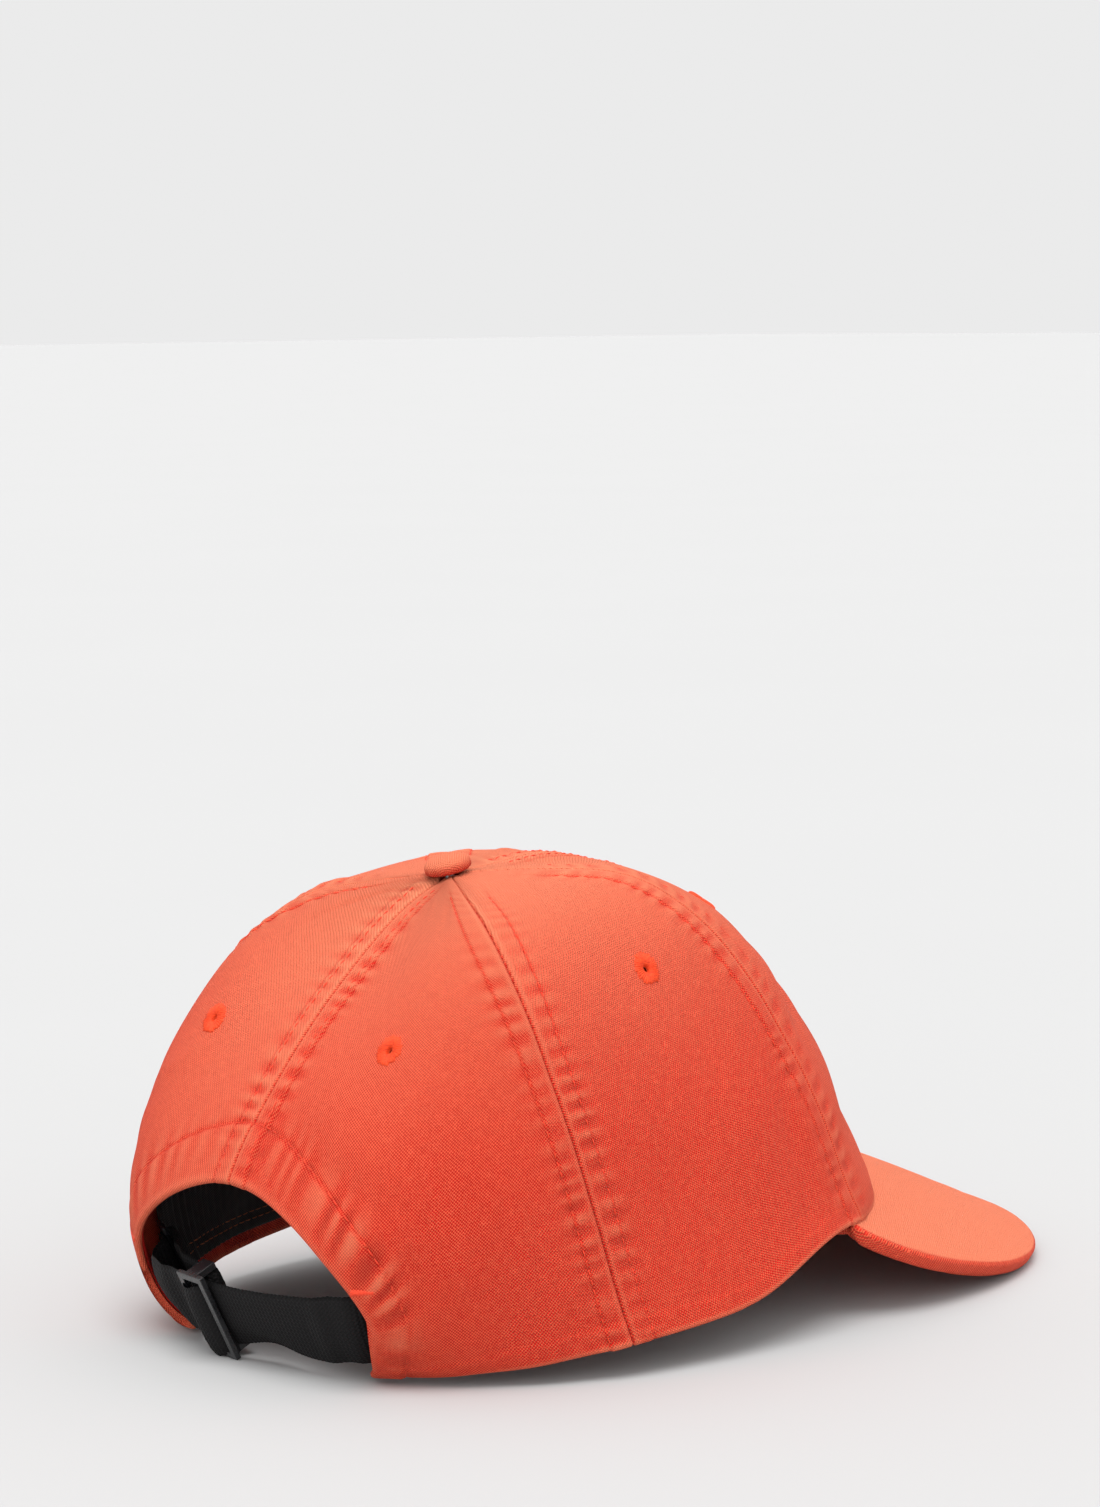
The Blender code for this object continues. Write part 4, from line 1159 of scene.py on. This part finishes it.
def webbing(name, route, look, body, curl=None, width=STRAP_WIDTH, thickness=STRAP_THICKNESS):
    """Ribbed webbing with knotty edges, swept along a route of (along, out) points."""
    route = np.asarray(route, float)
    run = run_length(route)
    count = max(int(run[-1] / 0.00031) // COARSE, 8)
    where = np.linspace(0, run[-1], count)
    path = np.stack([np.interp(where, run, route[:, k]) for k in range(2)], axis=1)
    tangent = unit(np.gradient(path, axis=0))
    side = np.stack([-tangent[:, 1], tangent[:, 0]], axis=1)
    across = np.concatenate([np.linspace(1, -1, 22), np.linspace(-1, 1, 22)])
    face = np.concatenate([np.ones(22), -np.ones(22)])
    ribs = np.abs(np.sin(math.pi * where / 0.00125))[:, None]
    edge = 1 - np.abs(across) ** 14
    half = width / 2 * (0.985 + 0.015 * ribs)
    knots = 1 + 0.5 * np.sin(across * 26)[None, :] * np.sin(2 * math.pi * where / 0.0025)[:, None]
    lift = (thickness / 2 * edge)[None, :] - 0.00007 + 0.00010 * ribs * edge * knots
    offset = side[:, None, :] * face[None, :, None] * lift[..., None]
    along, out = path[:, None, 0] + offset[..., 0], path[:, None, 1] + offset[..., 1]
    up = across[None, :] * half
    if curl is not None:
        out, up = curl(along, out, up)
    points = strap_place(along, out, up)
    flat = np.stack([where[:, None] * np.ones_like(up), up + 0.05 * (face[None, :] < 0)], axis=-1)
    n = len(across)
    faces = loop_shell_faces(count, n).tolist()
    for start, flip in ((0, True), ((count - 1) * n, False)):
        for k in range(21):
            quad = [start + k, start + k + 1, start + n - 2 - k, start + n - 1 - k]
            faces.append(quad[::-1] if flip else quad)
    piece = finish_mesh(name, points, faces, look, body, flat=flat)
    face_outwards(piece)
    return piece


def strap_curl(along, out, up):
    """The strap's lower edge rolls in beside the buckle; near the legs it hugs the crown."""
    low = smoothstep(-up / 0.010)
    near = bell(along + 0.006, 0.011)
    sag = bell(along + 0.012, 0.016)
    lift = 0.0016 * near * low**1.5 - 0.0009 * sag * smoothstep(up / 0.010)
    reach = np.abs(along)
    beside_leg = smoothstep((reach - 0.024) / 0.010) * (1 - smoothstep((reach - 0.040) / 0.007))
    near_leg = 0.0018 * (1 - (up / 0.0108) ** 2)
    far_leg = 0.0035 + 0.105 * up - 21.8 * up**2
    hug = beside_leg * np.where(along > 0, far_leg, near_leg)
    return out - 0.0022 * near * low**1.5 + 0.0006 * np.sin(along / 0.011) + hug, up + lift


def arc(centre, radius, start, end, count):
    angles = np.radians(np.linspace(start, end, count))
    return np.stack([centre[0] + radius * np.cos(angles), centre[1] + radius * np.sin(angles)], axis=1)


def make_strap(look):
    marks = np.linspace(STRAP_RIGHT_END, STRAP_TURN, 200)
    outer = np.stack([marks, tuck(marks)], axis=1)
    centre = (STRAP_TURN, tuck(STRAP_TURN) - STRAP_TURN_RADIUS)
    turn = arc(centre, STRAP_TURN_RADIUS, 85, -85, 12)
    strap = webbing("strap_webbing", np.concatenate([outer, turn]), look, "cap", curl=strap_curl)
    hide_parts("strap")

    back = np.linspace(STRAP_TURN, 0.0185, 80)
    depth = tuck(back) - 2 * STRAP_TURN_RADIUS - 0.0008 * smoothstep((STRAP_TURN - back) / 0.006)
    run = webbing("strap_return", np.stack([back, depth], axis=1), look, "cap")
    run.parent = None
    start, end = (Vector(strap_place(np.array(x), np.array(-0.004), np.array(0.0))) for x in (0.044, 0.021))
    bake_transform(run)


def make_end_loop(look):
    """The sewn end round the middle bar, and the hump the strap makes over the far side bar."""
    bar = (BUCKLE_REST, MIDDLE_BAR_OFFSET)
    turn = arc(bar, 0.0018, 50, 270, 24)
    tail = np.linspace(0.0015, 0.0060, 8)
    tail = np.stack([BUCKLE_REST + tail, bar[1] - 0.0018 + 0.0010 * smoothstep(tail / 0.008)], axis=1)
    loop = webbing("strap_end_webbing", np.concatenate([turn, tail]), look, "slider", thickness=0.0010)
    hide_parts("strap_end_loop")
    corners = np.array([
        (-3.5, -0.2), (-3.2, 0.9), (-2.4, 2.3), (-1.0, 3.5), (0.8, 4.2),
        (2.4, 4.4), (3.6, 4.1), (4.3, 3.5), (4.6, 2.7), (4.6, 2.0),
    ]) / 1000
    fine = np.linspace(0, len(corners) - 1, 60)
    hump = np.stack([np.interp(fine, np.arange(len(corners)), corners[:, k]) for k in range(2)], axis=1)
    hump[:, 0] += BUCKLE_REST
    roll = webbing("strap_hump", hump, look, "buckle", curl=hump_curl, thickness=0.0009, width=0.0216)


def hump_curl(along, out, up):
    """The hump bulges most at its middle and sags over the buckle's lower end."""
    ends = np.abs(up / 0.0108) ** 3
    proud = np.maximum(out - 0.0029, 0)
    return out - 0.45 * proud * ends, up - 0.0014 + 0.0004 * np.sin(along / 0.0012)


def make_ring_tab(look):
    bar = (STRAP_TURN + 0.0050, tuck(STRAP_TURN) - STRAP_TURN_RADIUS)
    turn = arc(bar, 0.0016, 90, 270, 16)
    start, end = [[bar[0] + 0.0050, bar[1] + 0.0016]], [[bar[0] + 0.0050, bar[1] - 0.0016]]
    route = np.concatenate([start, turn, end])
    tab = webbing("ring_tab_webbing", route, look, "cap", width=STRAP_WIDTH - 0.0060, thickness=0.0008)
    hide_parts("ring_tab")


def dress(node, look):
    """Gives a CAD node that stays in view its detailed material."""
    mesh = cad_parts[node].data
    mesh.materials.clear()
    mesh.materials.append(look)


# ---------------------------------------------------------------- stage


def make_stage():
    bpy.ops.mesh.primitive_plane_add(size=60.0)
    floor = bpy.context.active_object
    floor.name = "studio_floor"
    look = Shader("studio_paper", roughness=0.95)
    mottle = look.noise(look.place(), 3.0, 2.0)
    low, high = ((value,) * 3 for value in (FLOOR_TONE - 0.004, FLOOR_TONE + 0.004))
    floor.data.materials.append(look.finish(look.blend(mottle, low, high)))
    make_surroundings()


def make_surroundings():
    """A pale wall beyond the cap, a dim room on the near side and a soft bright ceiling."""
    world = bpy.data.worlds.new("studio")
    bpy.context.scene.world = world
    world.use_nodes = True
    nodes, links = world.node_tree.nodes, world.node_tree.links

    def ramp(value, stops):
        made = nodes.new("ShaderNodeValToRGB")
        links.new(value, made.inputs["Fac"])
        for element, (position, tone) in zip(made.color_ramp.elements, stops):
            element.position = position
            element.color = (tone, tone, tone, 1)
        return made.outputs["Color"]

    direction = nodes.new("ShaderNodeTexCoord").outputs["Generated"]
    beyond = nodes.new("ShaderNodeVectorMath")
    beyond.operation = "DOT_PRODUCT"
    beyond.inputs[1].default_value = (0.7375, -0.6753, 0.0)
    links.new(direction, beyond.inputs[0])
    split = nodes.new("ShaderNodeSeparateXYZ")
    links.new(direction, split.inputs[0])
    mix = nodes.new("ShaderNodeMix")
    mix.data_type = "RGBA"
    links.new(ramp(split.outputs["Z"], [(0.30, 0.0), (0.75, 1.0)]), mix.inputs["Factor"])
    links.new(ramp(beyond.outputs["Value"], [(0.05, ROOM_TONE), (0.60, WALL_TONE)]), mix.inputs[6])
    mix.inputs[7].default_value = (CEILING_TONE, CEILING_TONE, CEILING_TONE, 1)
    links.new(mix.outputs[2], nodes["Background"].inputs["Color"])


def make_sun(name, direction, strength, softness, colour=(1.0, 1.0, 1.0)):
    """A broad, far light that shines along a direction."""
    light = bpy.data.lights.new(name, "SUN")
    light.energy = strength
    light.angle = math.radians(softness)
    light.color = colour
    obj = bpy.data.objects.new(name, light)
    obj.rotation_euler = Vector(direction).to_track_quat("-Z", "Y").to_euler()
    bpy.context.scene.collection.objects.link(obj)


def make_camera():
    camera = bpy.data.cameras.new("camera")
    camera.lens = 104.0
    camera.clip_end = 100.0
    obj = bpy.data.objects.new("camera", camera)
    forward = Vector((0.7337, -0.6718, -0.1017)).normalized()
    right = Vector((-0.6760, -0.7368, -0.0097))
    right = (right - forward * right.dot(forward)).normalized()
    rotation = Matrix((right, right.cross(forward), -forward)).transposed().to_4x4()
    obj.matrix_world = Matrix.Translation((-0.8621, 0.8100, 0.2690)) @ rotation
    bpy.context.scene.collection.objects.link(obj)
    bpy.context.scene.camera = obj


# ---------------------------------------------------------------- assembly


def main():
    make_camera()
    make_stage()
    make_sun("key", (0.25, -0.23, -1.0), 2.1, 40.0)
    make_sun("fill", (0.72, -0.66, -0.28), 0.75, 50.0)
    bpy.context.scene.view_settings.view_transform = "Standard"

    looks = make_looks()
    for side in (1, -1):
        for place, first, last in (
            ("front", FRONT_SEAM, FRONT_SIDE_SEAM),
            ("side", FRONT_SIDE_SEAM, REAR_SIDE_SEAM),
            ("rear", REAR_SIDE_SEAM, REAR_SEAM),
        ):
            panel = make_panel(place, first, last, side, looks["cotton"])
            pierce(panel, place, side)
            make_eyelet(place, side, looks["eyelet"])
        make_bartack(side, looks["thread"])
    make_topstitching(looks["thread"])
    make_arch_facing(looks["lining"])
    make_tapes(looks["tape"], looks["thread"])
    make_button_cover(looks["cotton"])
    make_visor(looks["cotton"])
    make_sweatband(looks["twill"], looks["tan_thread"])
    make_strap(looks["webbing"])
    make_end_loop(looks["webbing"])
    make_ring_tab(looks["webbing"])
    dress("buckle", looks["plastic"])
    dress("strap_ring", looks["plastic"])
    dress("visor_board", looks["board"])
    dress("top_button_shell", looks["steel"])
    dress("top_button_rivet", looks["steel"])


main()
